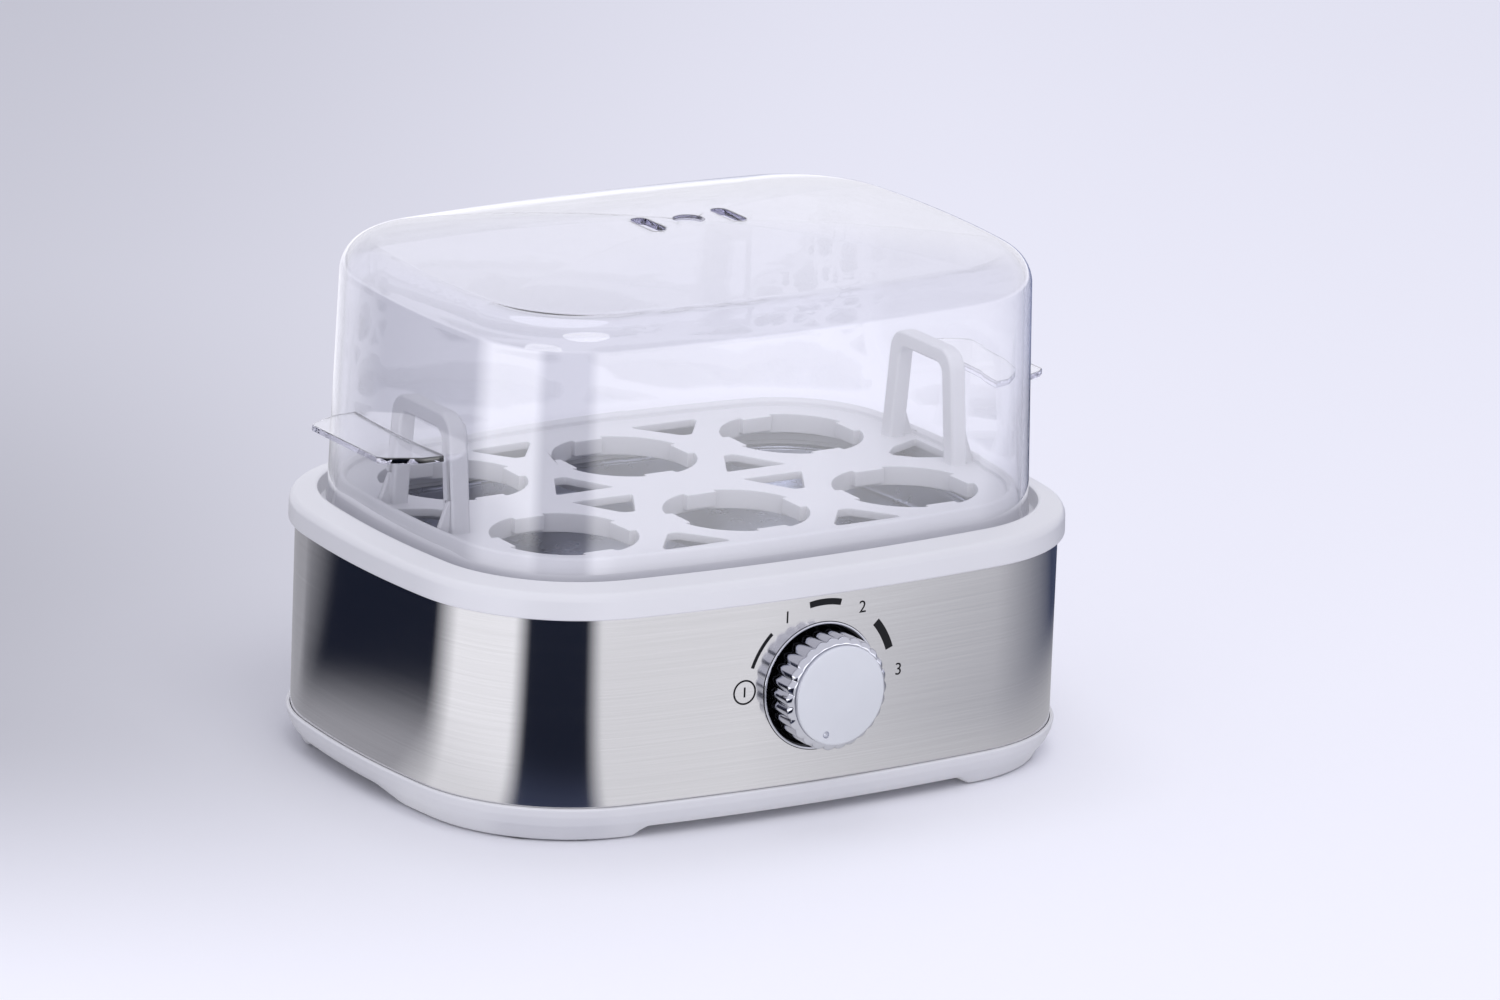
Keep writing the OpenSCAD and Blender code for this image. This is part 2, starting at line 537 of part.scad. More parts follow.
module egg_rack() color("gainsboro") difference() {
    union() {
        translate([0, 0, deck_top - deck_t]) linear_extrude(deck_t) difference() {
            polygon(outline(rack_out - 2.6));
            steam_slots();
        }
        sweep([[rack_out, lid_bottom], [rack_out - 0.1, deck_top - 3.6], [rack_out - 0.5, deck_top - 1],
            [rack_out - 1.2, rim_crest - 1], [rack_out - 1.9, rim_crest - 0.2], [rack_out - 2.5, rim_crest],
            [rack_out - 3.1, rim_crest - 0.3], [rack_out - 3.7, rim_crest - 1.4], [rack_out - 3.7, deck_top - deck_t - 2],
            [rack_out - 2, lid_bottom]]);
        egg_places() translate([0, 0, deck_top - skirt_h]) cylinder(r = egg_r + skirt_t, h = skirt_h);
        for (s = [-1, 1]) translate([s * bail_x, 0, deck_top]) {
            bail();
            for (t = [-1, 1]) translate([s * 2, t * (bail_foot - 3), 0]) scale([s, 1, 1]) gusset();
        }
    }
    egg_places() difference() {
        translate([0, 0, deck_top - 9]) cylinder(r = egg_r, h = 12);
        for (a = [0:90:270]) rotate([0, 0, a]) box([egg_r - lug_in, -lug_w / 2, deck_top - lug_h],
            [egg_r + 2, lug_w / 2, deck_top]);
    }
}

// ---------------------------------------------------------------- lid
wall_top = lid_top - dome_h - lid_fillet;
top_off = lid_out - lid_draft;
dome_steps = [0.03, 0.35, 0.65, 0.85];
// Rings from the dome's middle down to the lower edge, for a skin that lies t inside the outer face
function lid_rings(t) = concat(
    [for (s = dome_steps) squeeze(top_off - lid_fillet, s, wall_top + lid_fillet + dome_h * (1 - s * s) - t)],
    [for (a = [90:-18:0]) ring(top_off - lid_fillet + (lid_fillet - t) * cos(a), wall_top + (lid_fillet - t) * sin(a))],
    [ring(lid_out - 0.4 - t, lid_bottom + 4.6), ring(lid_out - t, lid_bottom)]);
vent_x = 12.8;
vent_l = 14;
vent_w = 4.6;
tab_z = lid_bottom + 31.9;
tab_t = 1.8;
tab_wide = 23.9;
tab_tip = 17.4;
tab_x = half_l + lid_out - 0.9;
tab_root = 60;
module lid() color("azure", 0.4) difference() {
    union() {
        skin(concat(lid_rings(lid_t), back(lid_rings(0))));
        difference() {
            translate([0, 0, tab_z - tab_t]) linear_extrude(tab_t) for (s = [-1, 1]) scale([s, 1])
                polygon([[tab_root, -tab_wide], [tab_x, -tab_wide], [tab_x + 4, -tab_wide + 0.6],
                    [tab_x + tab_reach - 2, -tab_tip - 2], [tab_x + tab_reach, -tab_tip],
                    [tab_x + tab_reach, tab_tip], [tab_x + tab_reach - 2, tab_tip + 2],
                    [tab_x + 4, tab_wide - 0.6], [tab_x, tab_wide], [tab_root, tab_wide]]);
            plate(lid_out - lid_t - 0.2, tab_z - 9, 18);
        }
    }
    for (s = [-1, 1]) {
        box([s * vent_x - vent_w / 2, -(vent_l - vent_w) / 2, lid_top - 9],
            [s * vent_x + vent_w / 2, (vent_l - vent_w) / 2, lid_top + 9]);
        for (t = [-1, 1]) translate([s * vent_x, t * (vent_l - vent_w) / 2, lid_top - 9])
            cylinder(r = vent_w / 2, h = 18);
    }
    translate([0, 0, lid_top - 0.5]) cylinder(r = 4.3, h = 4);
}

base_tray();
foot_pads();
steel_band();
collar();
water_pan();
pan_gasket();
pan_screws();
heating_element();
snap_thermostat();
thermostat_strap();
strap_nuts();
thermal_fuse();
fuse_clip();
control_body();
control_bracket();
control_nut();
bracket_screws();
control_spindle();
knob_grip();
knob_cap();
knob_spring();
knob_bezel();
bezel_trim();
terminal_block();
terminal_screws();
live_wire();
control_wire();
fuse_wire();
heater_wire();
neutral_wire();
earth_wire();
earth_tag();
cord_gland();
cord_clamp();
clamp_screws();
base_screws();
egg_rack();
lid();
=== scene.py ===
"""Looks of a six-egg steam cooker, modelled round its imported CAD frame. Metres, +Z up."""
import json
import math

import bmesh
import bpy
from bpy.props import FloatProperty, FloatVectorProperty, IntProperty, PointerProperty
from mathutils import Matrix, Vector


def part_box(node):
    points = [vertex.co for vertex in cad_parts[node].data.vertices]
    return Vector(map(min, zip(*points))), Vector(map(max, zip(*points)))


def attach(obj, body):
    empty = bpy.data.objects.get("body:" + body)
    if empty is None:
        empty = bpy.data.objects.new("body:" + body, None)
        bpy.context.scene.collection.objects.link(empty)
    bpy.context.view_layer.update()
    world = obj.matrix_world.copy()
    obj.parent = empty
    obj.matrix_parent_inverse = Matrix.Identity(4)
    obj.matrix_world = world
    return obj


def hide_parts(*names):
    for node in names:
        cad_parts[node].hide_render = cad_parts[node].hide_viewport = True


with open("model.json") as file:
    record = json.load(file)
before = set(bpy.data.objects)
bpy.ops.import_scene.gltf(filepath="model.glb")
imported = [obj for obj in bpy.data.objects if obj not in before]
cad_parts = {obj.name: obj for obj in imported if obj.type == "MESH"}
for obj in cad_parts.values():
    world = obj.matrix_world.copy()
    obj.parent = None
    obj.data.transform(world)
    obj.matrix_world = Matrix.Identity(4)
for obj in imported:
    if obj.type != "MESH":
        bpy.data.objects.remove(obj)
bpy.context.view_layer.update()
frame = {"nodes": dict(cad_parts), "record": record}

bl_info = {
    "name": "Egg cooker",
    "version": (1, 0, 0),
    "blender": (4, 5, 0),
    "location": "3D View > Sidebar > Egg cooker",
    "description": "Models the shells, rack, lid and knob of a steam cooker for six eggs, and its studio",
    "category": "Object",
}

MM = 0.001
HALF_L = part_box("steel_band")[1].x
HALF_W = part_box("steel_band")[1].y
BAND_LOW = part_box("steel_band")[0].z
BAND_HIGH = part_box("steel_band")[1].z
COLLAR_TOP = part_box("collar")[1].z
LID_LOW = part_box("lid")[0].z
LID_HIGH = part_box("lid")[1].z
TAB_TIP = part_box("lid")[1].x
LEDGE = LID_LOW - 0.2 * MM
BAIL_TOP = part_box("egg_rack")[1].z
PAN_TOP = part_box("water_pan")[1].z
KNOB_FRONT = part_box("knob_cap")[0].y
KNOB_Z = (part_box("knob_cap")[0].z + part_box("knob_cap")[1].z) / 2
CAP_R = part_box("knob_cap")[1].x
GRIP_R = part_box("knob_grip")[1].x
GRIP_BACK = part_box("knob_grip")[1].y
TRIM_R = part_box("bezel_trim")[1].x
GLAND_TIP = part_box("cord_gland")[1].y
GLAND_Z = (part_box("cord_gland")[0].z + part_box("cord_gland")[1].z) / 2
CORD_R = 3.1 * MM
FACE_Y = -HALF_W
# Where the screw posts and the foot pads stand: in from the outline, and the angle from a corner's centre
POSTS = (-7.6 * MM, -45)
PADS = (-8.2 * MM, -70)

# The studio's view of the body: where the camera stands, how it is turned, and its lens
CAMERA_PLACE = (-1.5432, -2.4365, 0.9072)
CAMERA_YAW = math.radians(-32.74)
CAMERA_PITCH = math.radians(16.18)
CAMERA_ROLL = math.radians(2.24)
CAMERA_LENS = 262.8


def linear(text):
    """An sRGB hex colour as linear red, green, blue and alpha."""
    parts = [int(text[i:i + 2], 16) / 255 for i in (1, 3, 5)]
    return (*[c / 12.92 if c <= 0.04045 else ((c + 0.055) / 1.055) ** 2.4 for c in parts], 1.0)


def length(name, default, description):
    return FloatProperty(name=name, description=description, default=default, unit="LENGTH", subtype="DISTANCE")


def colour(name, text, description):
    return FloatVectorProperty(
        name=name, description=description, default=linear(text), size=4, min=0, max=1, subtype="COLOR")


class CookerSizes(bpy.types.PropertyGroup):
    """Sizes that the frame's boxes don't give."""
    corner_r: length("Corner radius", 45 * MM, "Radius of the outline's corners")
    front_bow: length("Front bow", 9.2 * MM, "How far the front and back bow out between their corners")
    end_bow: length("End bow", 10.2 * MM, "How far the two ends bow out between their corners")
    collar_drop: length("Collar drop", 8.9 * MM, "Height of the collar's outer face below its top")
    bail_h: length("Bail height", 32 * MM, "Height of the lifting bails above the rack's deck")
    egg_r: length("Egg hole radius", 20 * MM, "Radius of an egg hole")
    egg_dx: length("Hole columns", 54.5 * MM, "Distance between hole columns")
    egg_dy: length("Hole rows", 58 * MM, "Distance between hole rows")
    lid_wall: length("Lid wall", 2 * MM, "Thickness of the clear lid")
    lid_fillet: length("Lid edge radius", 10 * MM, "Radius of the edge between the lid's wall and roof")
    dome_h: length("Dome rise", 6.3 * MM, "Rise of the lid's roof")
    vent_x: length("Vent place", 12.8 * MM, "Distance of each steam vent from the lid's middle")
    tab_drop: length("Tab height", 31.9 * MM, "Height of the lifting tabs above the lid's lower edge")
    ribs: IntProperty(name="Ribs", description="Number of ribs round the knob", default=26, min=8, max=60)
    rib_depth: length("Rib depth", 0.3 * MM, "Half the depth of the knob's flutes")


class CookerColours(bpy.types.PropertyGroup):
    """Colours of the finishes that show."""
    white: colour("White", "#DCDCDF", "Base and collar")
    grey: colour("Rack grey", "#CFCFD4", "Egg rack")
    steel: colour("Steel", "#E3E2E4", "Brushed steel band")
    pan: colour("Pan", "#A6AABA", "Water pan")
    chrome: colour("Chrome", "#C6C7CF", "Plated knob grip and trim ring")
    disc: colour("Disc", "#D6D8E0", "Satin disc in the knob's face")
    # The printed marks are really black; on the bezel cup the same black is painted shade, standing in for the deep
    # shade of the recess behind the knob.
    black: colour("Black", "#15161A", "Bezel cup and printed marks")
    edge: colour("Lid tint", "#C9C4F0", "What is left of white light after a long way through the lid")
    floor: colour("Floor", "#F6F6FB", "Studio floor")


# ---------------------------------------------------------------- outline and sections

def arc(centre, radius, start, end, steps):
    """Points along an arc, up to but without its last."""
    turns = [start + (end - start) * i / steps for i in range(steps)]
    return [Vector((centre[0] + radius * math.cos(t), centre[1] + radius * math.sin(t))) for t in turns]


def body_arcs():
    """Centres and radii of the front and end arcs, and the centre of the corner arc that touches both."""
    sizes = bpy.context.scene.cooker_sizes
    front_r = (HALF_L ** 2 + sizes.front_bow ** 2) / (2 * sizes.front_bow)
    end_r = (HALF_W ** 2 + sizes.end_bow ** 2) / (2 * sizes.end_bow)
    front_c, end_c = Vector((0, front_r - HALF_W)), Vector((HALF_L - end_r, 0))
    span = end_c - front_c
    to_front, to_end = front_r - sizes.corner_r, end_r - sizes.corner_r
    along = (to_front ** 2 - to_end ** 2 + span.length_squared) / (2 * span.length)
    aside = math.sqrt(to_front ** 2 - along ** 2)
    unit = span.normalized()
    return front_c, front_r, end_c, end_r, front_c + along * unit + aside * Vector((-unit.y, unit.x))


def outline(offset, steps=(14, 16, 10)):
    """The body's outline moved out by offset. Steps are the points on its front, corner and end arcs."""
    front_c, front_r, end_c, end_r, corner_c = body_arcs()
    front_a = math.atan2(corner_c.y - front_c.y, corner_c.x - front_c.x)
    end_a = math.atan2(corner_c.y - end_c.y, corner_c.x - end_c.x)
    corner_r = bpy.context.scene.cooker_sizes.corner_r
    quarter = arc(front_c, front_r + offset, -math.pi / 2, front_a, steps[0])
    quarter += arc(corner_c, corner_r + offset, front_a, end_a, steps[1])
    quarter += arc(end_c, end_r + offset, end_a, 0, steps[2]) + [Vector((HALF_L + offset, 0))]
    turned = []
    for sx, sy, backwards in ((1, 1, False), (1, -1, True), (-1, -1, False), (-1, 1, True)):
        side = [Vector((sx * p.x, sy * p.y)) for p in quarter]
        turned += (side[::-1] if backwards else side)[:-1]
    return turned


def corner_places(offset, angle):
    """Where a line at an angle from each corner's centre meets the outline moved out by offset."""
    turn = math.radians(angle)
    reach = bpy.context.scene.cooker_sizes.corner_r + offset
    point = body_arcs()[4] + reach * Vector((math.cos(turn), math.sin(turn)))
    return [Vector((sx * point.x, -sy * point.y)) for sx in (-1, 1) for sy in (-1, 1)]


def smooth(value, start, end):
    """0 before start, 1 after end, and an even S between."""
    t = min(1, max(0, (value - start) / (end - start)))
    return t * t * (3 - 2 * t)


def ring(offset, height, steps=(14, 16, 10)):
    return [Vector((p.x, p.y, height)) for p in outline(offset, steps)]


def front_at(x):
    """Y of the steel's front face at a place along it."""
    bow = bpy.context.scene.cooker_sizes.front_bow
    radius = (HALF_L ** 2 + bow ** 2) / (2 * bow)
    return radius - HALF_W - math.sqrt(radius ** 2 - x ** 2)


def end_at(y, offset):
    """X of the outline's right end at a place along it, moved out by offset."""
    bow = bpy.context.scene.cooker_sizes.end_bow
    radius = (HALF_W ** 2 + bow ** 2) / (2 * bow)
    return HALF_L - radius + math.sqrt((radius + offset) ** 2 - y ** 2)


def rounded(corners, closed=True, turn=24):
    """A section's corners, (offset, height, radius), as points, with each corner turned into an arc."""
    points = []
    count = len(corners)
    for i, (x, z, radius) in enumerate(corners):
        here = Vector((x, z))
        if radius == 0 or not closed and i in (0, count - 1):
            points.append(here)
            continue
        back = Vector(corners[i - 1][:2]) - here
        on = Vector(corners[(i + 1) % count][:2]) - here
        half = back.angle(on) / 2
        reach = min(radius / math.tan(half), 0.48 * back.length, 0.48 * on.length)
        centre = here + (back.normalized() + on.normalized()).normalized() * reach / math.cos(half)
        first = here + back.normalized() * reach - centre
        last = here + on.normalized() * reach - centre
        sweep = -first.angle_signed(last)
        steps = max(1, math.ceil(math.degrees(abs(sweep)) / turn))
        for k in range(steps + 1):
            spun = first.copy()
            spun.rotate(Matrix.Rotation(sweep * k / steps, 2))
            points.append(centre + spun)
    return points


def in_mm(corners):
    return [tuple(value * MM for value in corner) for corner in corners]


# ---------------------------------------------------------------- modelling by hand, in code

def alone(piece):
    """Leaves one piece selected and active."""
    bpy.ops.object.select_all(action="DESELECT")
    piece.select_set(True)
    bpy.context.view_layer.objects.active = piece
    return piece


def named(name):
    """Names the primitive that was just added and gives it its place in its mesh."""
    piece = bpy.context.object
    piece.name = piece.data.name = name
    bpy.ops.object.transform_apply(location=True, rotation=True, scale=True)
    return piece


def choose(test):
    """Selects the vertices that pass a test, and the edges and faces between them."""
    bpy.ops.mesh.select_all(action="DESELECT")
    mesh = bmesh.from_edit_mesh(bpy.context.object.data)
    for vertex in mesh.verts:
        vertex.select = test(vertex)
    mesh.select_flush(True)
    bmesh.update_edit_mesh(bpy.context.object.data)


def place(points, row):
    """Puts the selected ring of vertices on its points and numbers it as a row."""
    mesh = bmesh.from_edit_mesh(bpy.context.object.data)
    spot, rows = mesh.verts.layers.int["spot"], mesh.verts.layers.int["row"]
    for vertex in mesh.verts:
        if vertex.select:
            vertex.co = points[vertex[spot]]
            vertex[rows] = row
    bmesh.update_edit_mesh(bpy.context.object.data)


def start_ring(name, points):
    """Adds a circle of edges, opens it in edit mode and puts its vertices on a ring of points."""
    bpy.ops.object.select_all(action="DESELECT")
    bpy.ops.mesh.primitive_circle_add(vertices=len(points), radius=HALF_W)
    piece = named(name)
    bpy.ops.object.mode_set(mode="EDIT")
    mesh = bmesh.from_edit_mesh(piece.data)
    spot = mesh.verts.layers.int.new("spot")
    mesh.verts.layers.int.new("row")
    mesh.verts.ensure_lookup_table()
    for number, vertex in enumerate(mesh.verts):
        vertex[spot] = number
    place(points, 0)
    return piece


def cap(row, how):
    """Closes an end row with a face, or draws it to a pole in its middle."""
    rows = bmesh.from_edit_mesh(bpy.context.object.data).verts.layers.int["row"]
    choose(lambda vertex: vertex[rows] == row)
    if how == "face":
        bpy.ops.mesh.edge_face_add()
    elif how == "pole":
        bpy.ops.mesh.extrude_edges_move()
        bpy.ops.mesh.merge(type="CENTER")


def close(piece):
    """Turns all faces outwards, leaves edit mode and drops the ring numbers."""
    bpy.ops.mesh.select_all(action="SELECT")
    bpy.ops.mesh.normals_make_consistent(inside=False)
    bpy.ops.object.mode_set(mode="OBJECT")
    for layer in ("spot", "row"):
        piece.data.attributes.remove(piece.data.attributes[layer])
    return piece


def loft(name, rings, first="face", last="face"):
    """Skins rings of equal count, each extruded from the one before. "loop" joins the last row to the first."""
    piece = start_ring(name, rings[0])
    for row, points in enumerate(rings[1:], 1):
        bpy.ops.mesh.extrude_edges_move()
        place(points, row)
    if last == "loop":
        bpy.ops.mesh.select_all(action="DESELECT")
        bpy.ops.mesh.select_non_manifold()
        bpy.ops.mesh.bridge_edge_loops()
    else:
        cap(0, first)
        cap(len(rings) - 1, last)
    return close(piece)


def sweep(name, section, steps=(14, 16, 10)):
    """Runs a closed section of (offset, height) points round the body's outline."""
    return loft(name, [ring(p.x, p.y, steps) for p in section], last="loop")


def prism(name, corners, low, high, radius=0, segments=5):
    """An upright block on a flat outline, with its corners rounded before it is raised."""
    bpy.ops.object.select_all(action="DESELECT")
    piece = start_ring(name, [Vector((x, y, low)) for x, y in corners])
    bpy.ops.mesh.edge_face_add()
    if radius:
        bpy.ops.mesh.bevel(offset=radius, segments=segments, affect="VERTICES")
    bpy.ops.mesh.extrude_region_move(TRANSFORM_OT_translate={"value": (0, 0, high - low)})
    return close(piece)


def rod(name, radius, foot, height, axis="Z", vertices=72):
    """A plain cylinder from a foot point along an axis, used as a cutter or to be welded on."""
    bpy.ops.object.select_all(action="DESELECT")
    turn = (-math.pi / 2, 0, 0) if axis == "Y" else (0, 0, 0)
    middle = Vector(foot) + Vector((0, height / 2, 0) if axis == "Y" else (0, 0, height / 2))
    bpy.ops.mesh.primitive_cylinder_add(
        vertices=vertices, radius=radius, depth=height, location=middle, rotation=turn)
    return named(name)


def block(name, low, high):
    """A plain box between two corners, used as a cutter or to be welded on."""
    bpy.ops.object.select_all(action="DESELECT")
    low, high = Vector(low), Vector(high)
    bpy.ops.mesh.primitive_cube_add(size=1, location=(low + high) / 2)
    bpy.context.object.scale = high - low
    return named(name)


def copies(piece, places):
    """One mesh of a piece's copies, each moved to a place or mirrored by a matrix, in the piece's stead."""
    made = []
    for number, matrix in enumerate(places):
        twin = piece.copy()
        twin.data = piece.data.copy()
        bpy.context.collection.objects.link(twin)
        twin.data.transform(matrix)
        if matrix.determinant() < 0:
            twin.data.flip_normals()
        made.append(twin)
    bpy.data.objects.remove(piece)
    return together(made)


def together(pieces):
    alone(pieces[0])
    for piece in pieces[1:]:
        piece.select_set(True)
    if len(pieces) > 1:
        bpy.ops.object.join()
    return pieces[0]


def apply(piece, kind, **settings):
    """Adds a modifier and applies it."""
    modifier = alone(piece).modifiers.new(kind, kind)
    for name, value in settings.items():
        setattr(modifier, name, value)
    bpy.ops.object.modifier_apply(modifier=modifier.name)


def carve(piece, tool, operation="DIFFERENCE"):
    """Cuts a tool out of a piece, or welds it on with "UNION", and removes the tool."""
    apply(piece, "BOOLEAN", object=tool, operation=operation, solver="EXACT")
    bpy.data.objects.remove(tool)


def soften(piece, width, segments=2, angle=35, planes=()):
    """Rounds a piece's sharp edges, once double vertices are merged and wide faces parted along planes."""
    alone(piece)
    bpy.ops.object.mode_set(mode="EDIT")
    bpy.ops.mesh.select_all(action="SELECT")
    bpy.ops.mesh.remove_doubles(threshold=0.02 * MM)
    bpy.ops.mesh.dissolve_limited(angle_limit=math.radians(0.3))
    for axis, at in planes:
        normal = Vector((axis == "X", axis == "Y", 0))
        bpy.ops.mesh.select_all(action="SELECT")
        bpy.ops.mesh.bisect(plane_co=normal * at, plane_no=normal)
    bpy.ops.object.mode_set(mode="OBJECT")
    apply(piece, "BEVEL", width=width, segments=segments, limit_method="ANGLE",
          angle_limit=math.radians(angle), use_clamp_overlap=False, miter_outer="MITER_ARC")


def turns(count):
    return [Matrix.Rotation(2 * math.pi * i / count, 4, "Z") for i in range(count)]


def shift(x, y, z=0):
    return Matrix.Translation((x, y, z))


def flip(sx, sy):
    return Matrix.Diagonal((sx, sy, 1, 1))


def finish(piece, body, slot, *nodes, angle=32):
    """Smooths a piece, gives it its finish, and lets it stand for its CAD nodes on their body."""
    alone(piece)
    bpy.ops.object.shade_smooth_by_angle(angle=math.radians(angle))
    apply(piece, "WEIGHTED_NORMAL", keep_sharp=True, weight=60)
    piece.data.materials.clear()
    piece.data.materials.append(finish_for(slot))
    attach(piece, body)
    if nodes:
        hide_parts(*nodes)
    return piece


# ---------------------------------------------------------------- finishes

def add(tree, kind, inputs=None, **settings):
    """Adds a shader node with its settings, and links or sets its inputs."""
    made = tree.nodes.new("ShaderNode" + kind)
    for name, value in settings.items():
        setattr(made, name, value)
    for name, value in (inputs or {}).items():
        if isinstance(value, bpy.types.NodeSocket):
            tree.links.new(value, made.inputs[name])
        else:
            made.inputs[name].default_value = value
    return made


def new_material(name):
    """A material with only its output, its tree, and the piece's own coordinates in metres."""
    material = bpy.data.materials.new(name)
    material.use_nodes = True
    tree = material.node_tree
    tree.nodes.clear()
    return material, tree, add(tree, "TexCoord").outputs["Object"]


def moulded(name, shade, roughness=0.34, grain=0.5, relief=0.012, cloud=0.03, specular=0.5, coat=0.0):
    """Injection-moulded plastic. Spark-eroded tools leave a fine even grain, in mm, drawn coarse enough to show,
    and the resin has faint clouds of colour a few centimetres wide. Both break up the gloss."""
    material, tree, place_in = new_material(name)
    grains = add(tree, "TexNoise", {"Vector": place_in, "Scale": 1 / (grain * MM), "Detail": 2.0})
    clouds = add(tree, "TexNoise", {"Vector": place_in, "Scale": 1 / (38 * MM), "Detail": 3.0})
    dark = [value * (1 - 2 * cloud) for value in shade[:3]] + [1]
    tone = add(tree, "Mix", {"Factor": clouds.outputs["Fac"], 6: shade, 7: dark}, data_type="RGBA")
    gloss = add(tree, "MapRange", {
        "Value": grains.outputs["Fac"], "To Min": roughness * 0.85, "To Max": roughness * 1.2})
    bump = add(tree, "Bump", {"Height": grains.outputs["Fac"], "Strength": 0.35, "Distance": relief * MM})
    shader = add(tree, "BsdfPrincipled", {
        "Base Color": tone.outputs[2], "Roughness": gloss.outputs[0], "Normal": bump.outputs[0],
        "IOR": 1.5, "Specular IOR Level": specular, "Coat Weight": coat, "Coat Roughness": 0.15})
    add(tree, "OutputMaterial", {"Surface": shader.outputs[0]})
    return material


def brushed_steel(name, shade):
    """Cold-rolled stainless sheet, brushed along its length. Each belt scratch is some 50 mm long and a few
    hundredths of a millimetre high, drawn 0.4 mm high so that it shows, and stretches reflections upwards."""
    material, tree, place_in = new_material(name)
    long_way = add(tree, "Mapping", {"Vector": place_in, "Scale": (14, 14, 2300)})
    scratches = add(tree, "TexNoise", {"Vector": long_way.outputs[0], "Scale": 1.0, "Detail": 4.0, "Roughness": 0.7})
    wide_way = add(tree, "Mapping", {"Vector": place_in, "Scale": (9, 9, 420)})
    bands = add(tree, "TexNoise", {"Vector": wide_way.outputs[0], "Scale": 1.0, "Detail": 3.0})
    dark = [value * 0.80 for value in shade[:3]] + [1]
    tone = add(tree, "Mix", {"Factor": scratches.outputs["Fac"], 6: shade, 7: dark}, data_type="RGBA")
    gloss = add(tree, "MapRange", {"Value": bands.outputs["Fac"], "To Min": 0.08, "To Max": 0.12})
    along = add(tree, "Tangent", direction_type="RADIAL", axis="Z")
    shader = add(tree, "BsdfPrincipled", {
        "Base Color": tone.outputs[2], "Metallic": 1.0, "Roughness": gloss.outputs[0],
        "Anisotropic": 0.9, "Anisotropic Rotation": 0.25, "Tangent": along.outputs[0]})
    add(tree, "OutputMaterial", {"Surface": shader.outputs[0]})
    return material


def metal(name, shade, roughness, spread=0.04, grain=0.6, relief=0.004):
    """Plated, rolled or turned metal: a smooth mirror broken by handling marks and a fine surface grain, in mm."""
    material, tree, place_in = new_material(name)
    marks = add(tree, "TexNoise", {"Vector": place_in, "Scale": 1 / (9 * MM), "Detail": 4.0})
    grains = add(tree, "TexNoise", {"Vector": place_in, "Scale": 1 / (grain * MM), "Detail": 2.0})
    gloss = add(tree, "MapRange", {
        "Value": marks.outputs["Fac"], "To Min": roughness, "To Max": roughness + spread})
    dark = [value * 0.94 for value in shade[:3]] + [1]
    tone = add(tree, "Mix", {"Factor": marks.outputs["Fac"], 6: shade, 7: dark}, data_type="RGBA")
    bump = add(tree, "Bump", {"Height": grains.outputs["Fac"], "Strength": 0.3, "Distance": relief * MM})
    shader = add(tree, "BsdfPrincipled", {
        "Base Color": tone.outputs[2], "Metallic": 1.0, "Roughness": gloss.outputs[0], "Normal": bump.outputs[0]})
    add(tree, "OutputMaterial", {"Surface": shader.outputs[0]})
    return material


def clear_styrene(name, tint):
    """Injection-moulded styrene acrylonitrile: water-clear and glossy, with a violet blueing dye that only shows
    where one looks along the wall, at its rims and tab edges."""
    material, tree, place_in = new_material(name)
    flow = add(tree, "TexNoise", {"Vector": place_in, "Scale": 1 / (22 * MM), "Detail": 1.0})
    bump = add(tree, "Bump", {"Height": flow.outputs["Fac"], "Strength": 0.06, "Distance": 0.05 * MM})
    shader = add(tree, "BsdfPrincipled", {
        "Base Color": (0.985, 0.985, 1, 1), "Roughness": 0.01, "IOR": 1.57, "Transmission Weight": 1.0,
        "Coat Weight": 1.0, "Coat Roughness": 0.01, "Coat IOR": 1.5,
        "Normal": bump.outputs[0]})
    depth = add(tree, "VolumeAbsorption", {"Color": tint, "Density": 6.0})
    add(tree, "OutputMaterial", {"Surface": shader.outputs[0], "Volume": depth.outputs[0]})
    return material


# ---------------------------------------------------------------- pieces

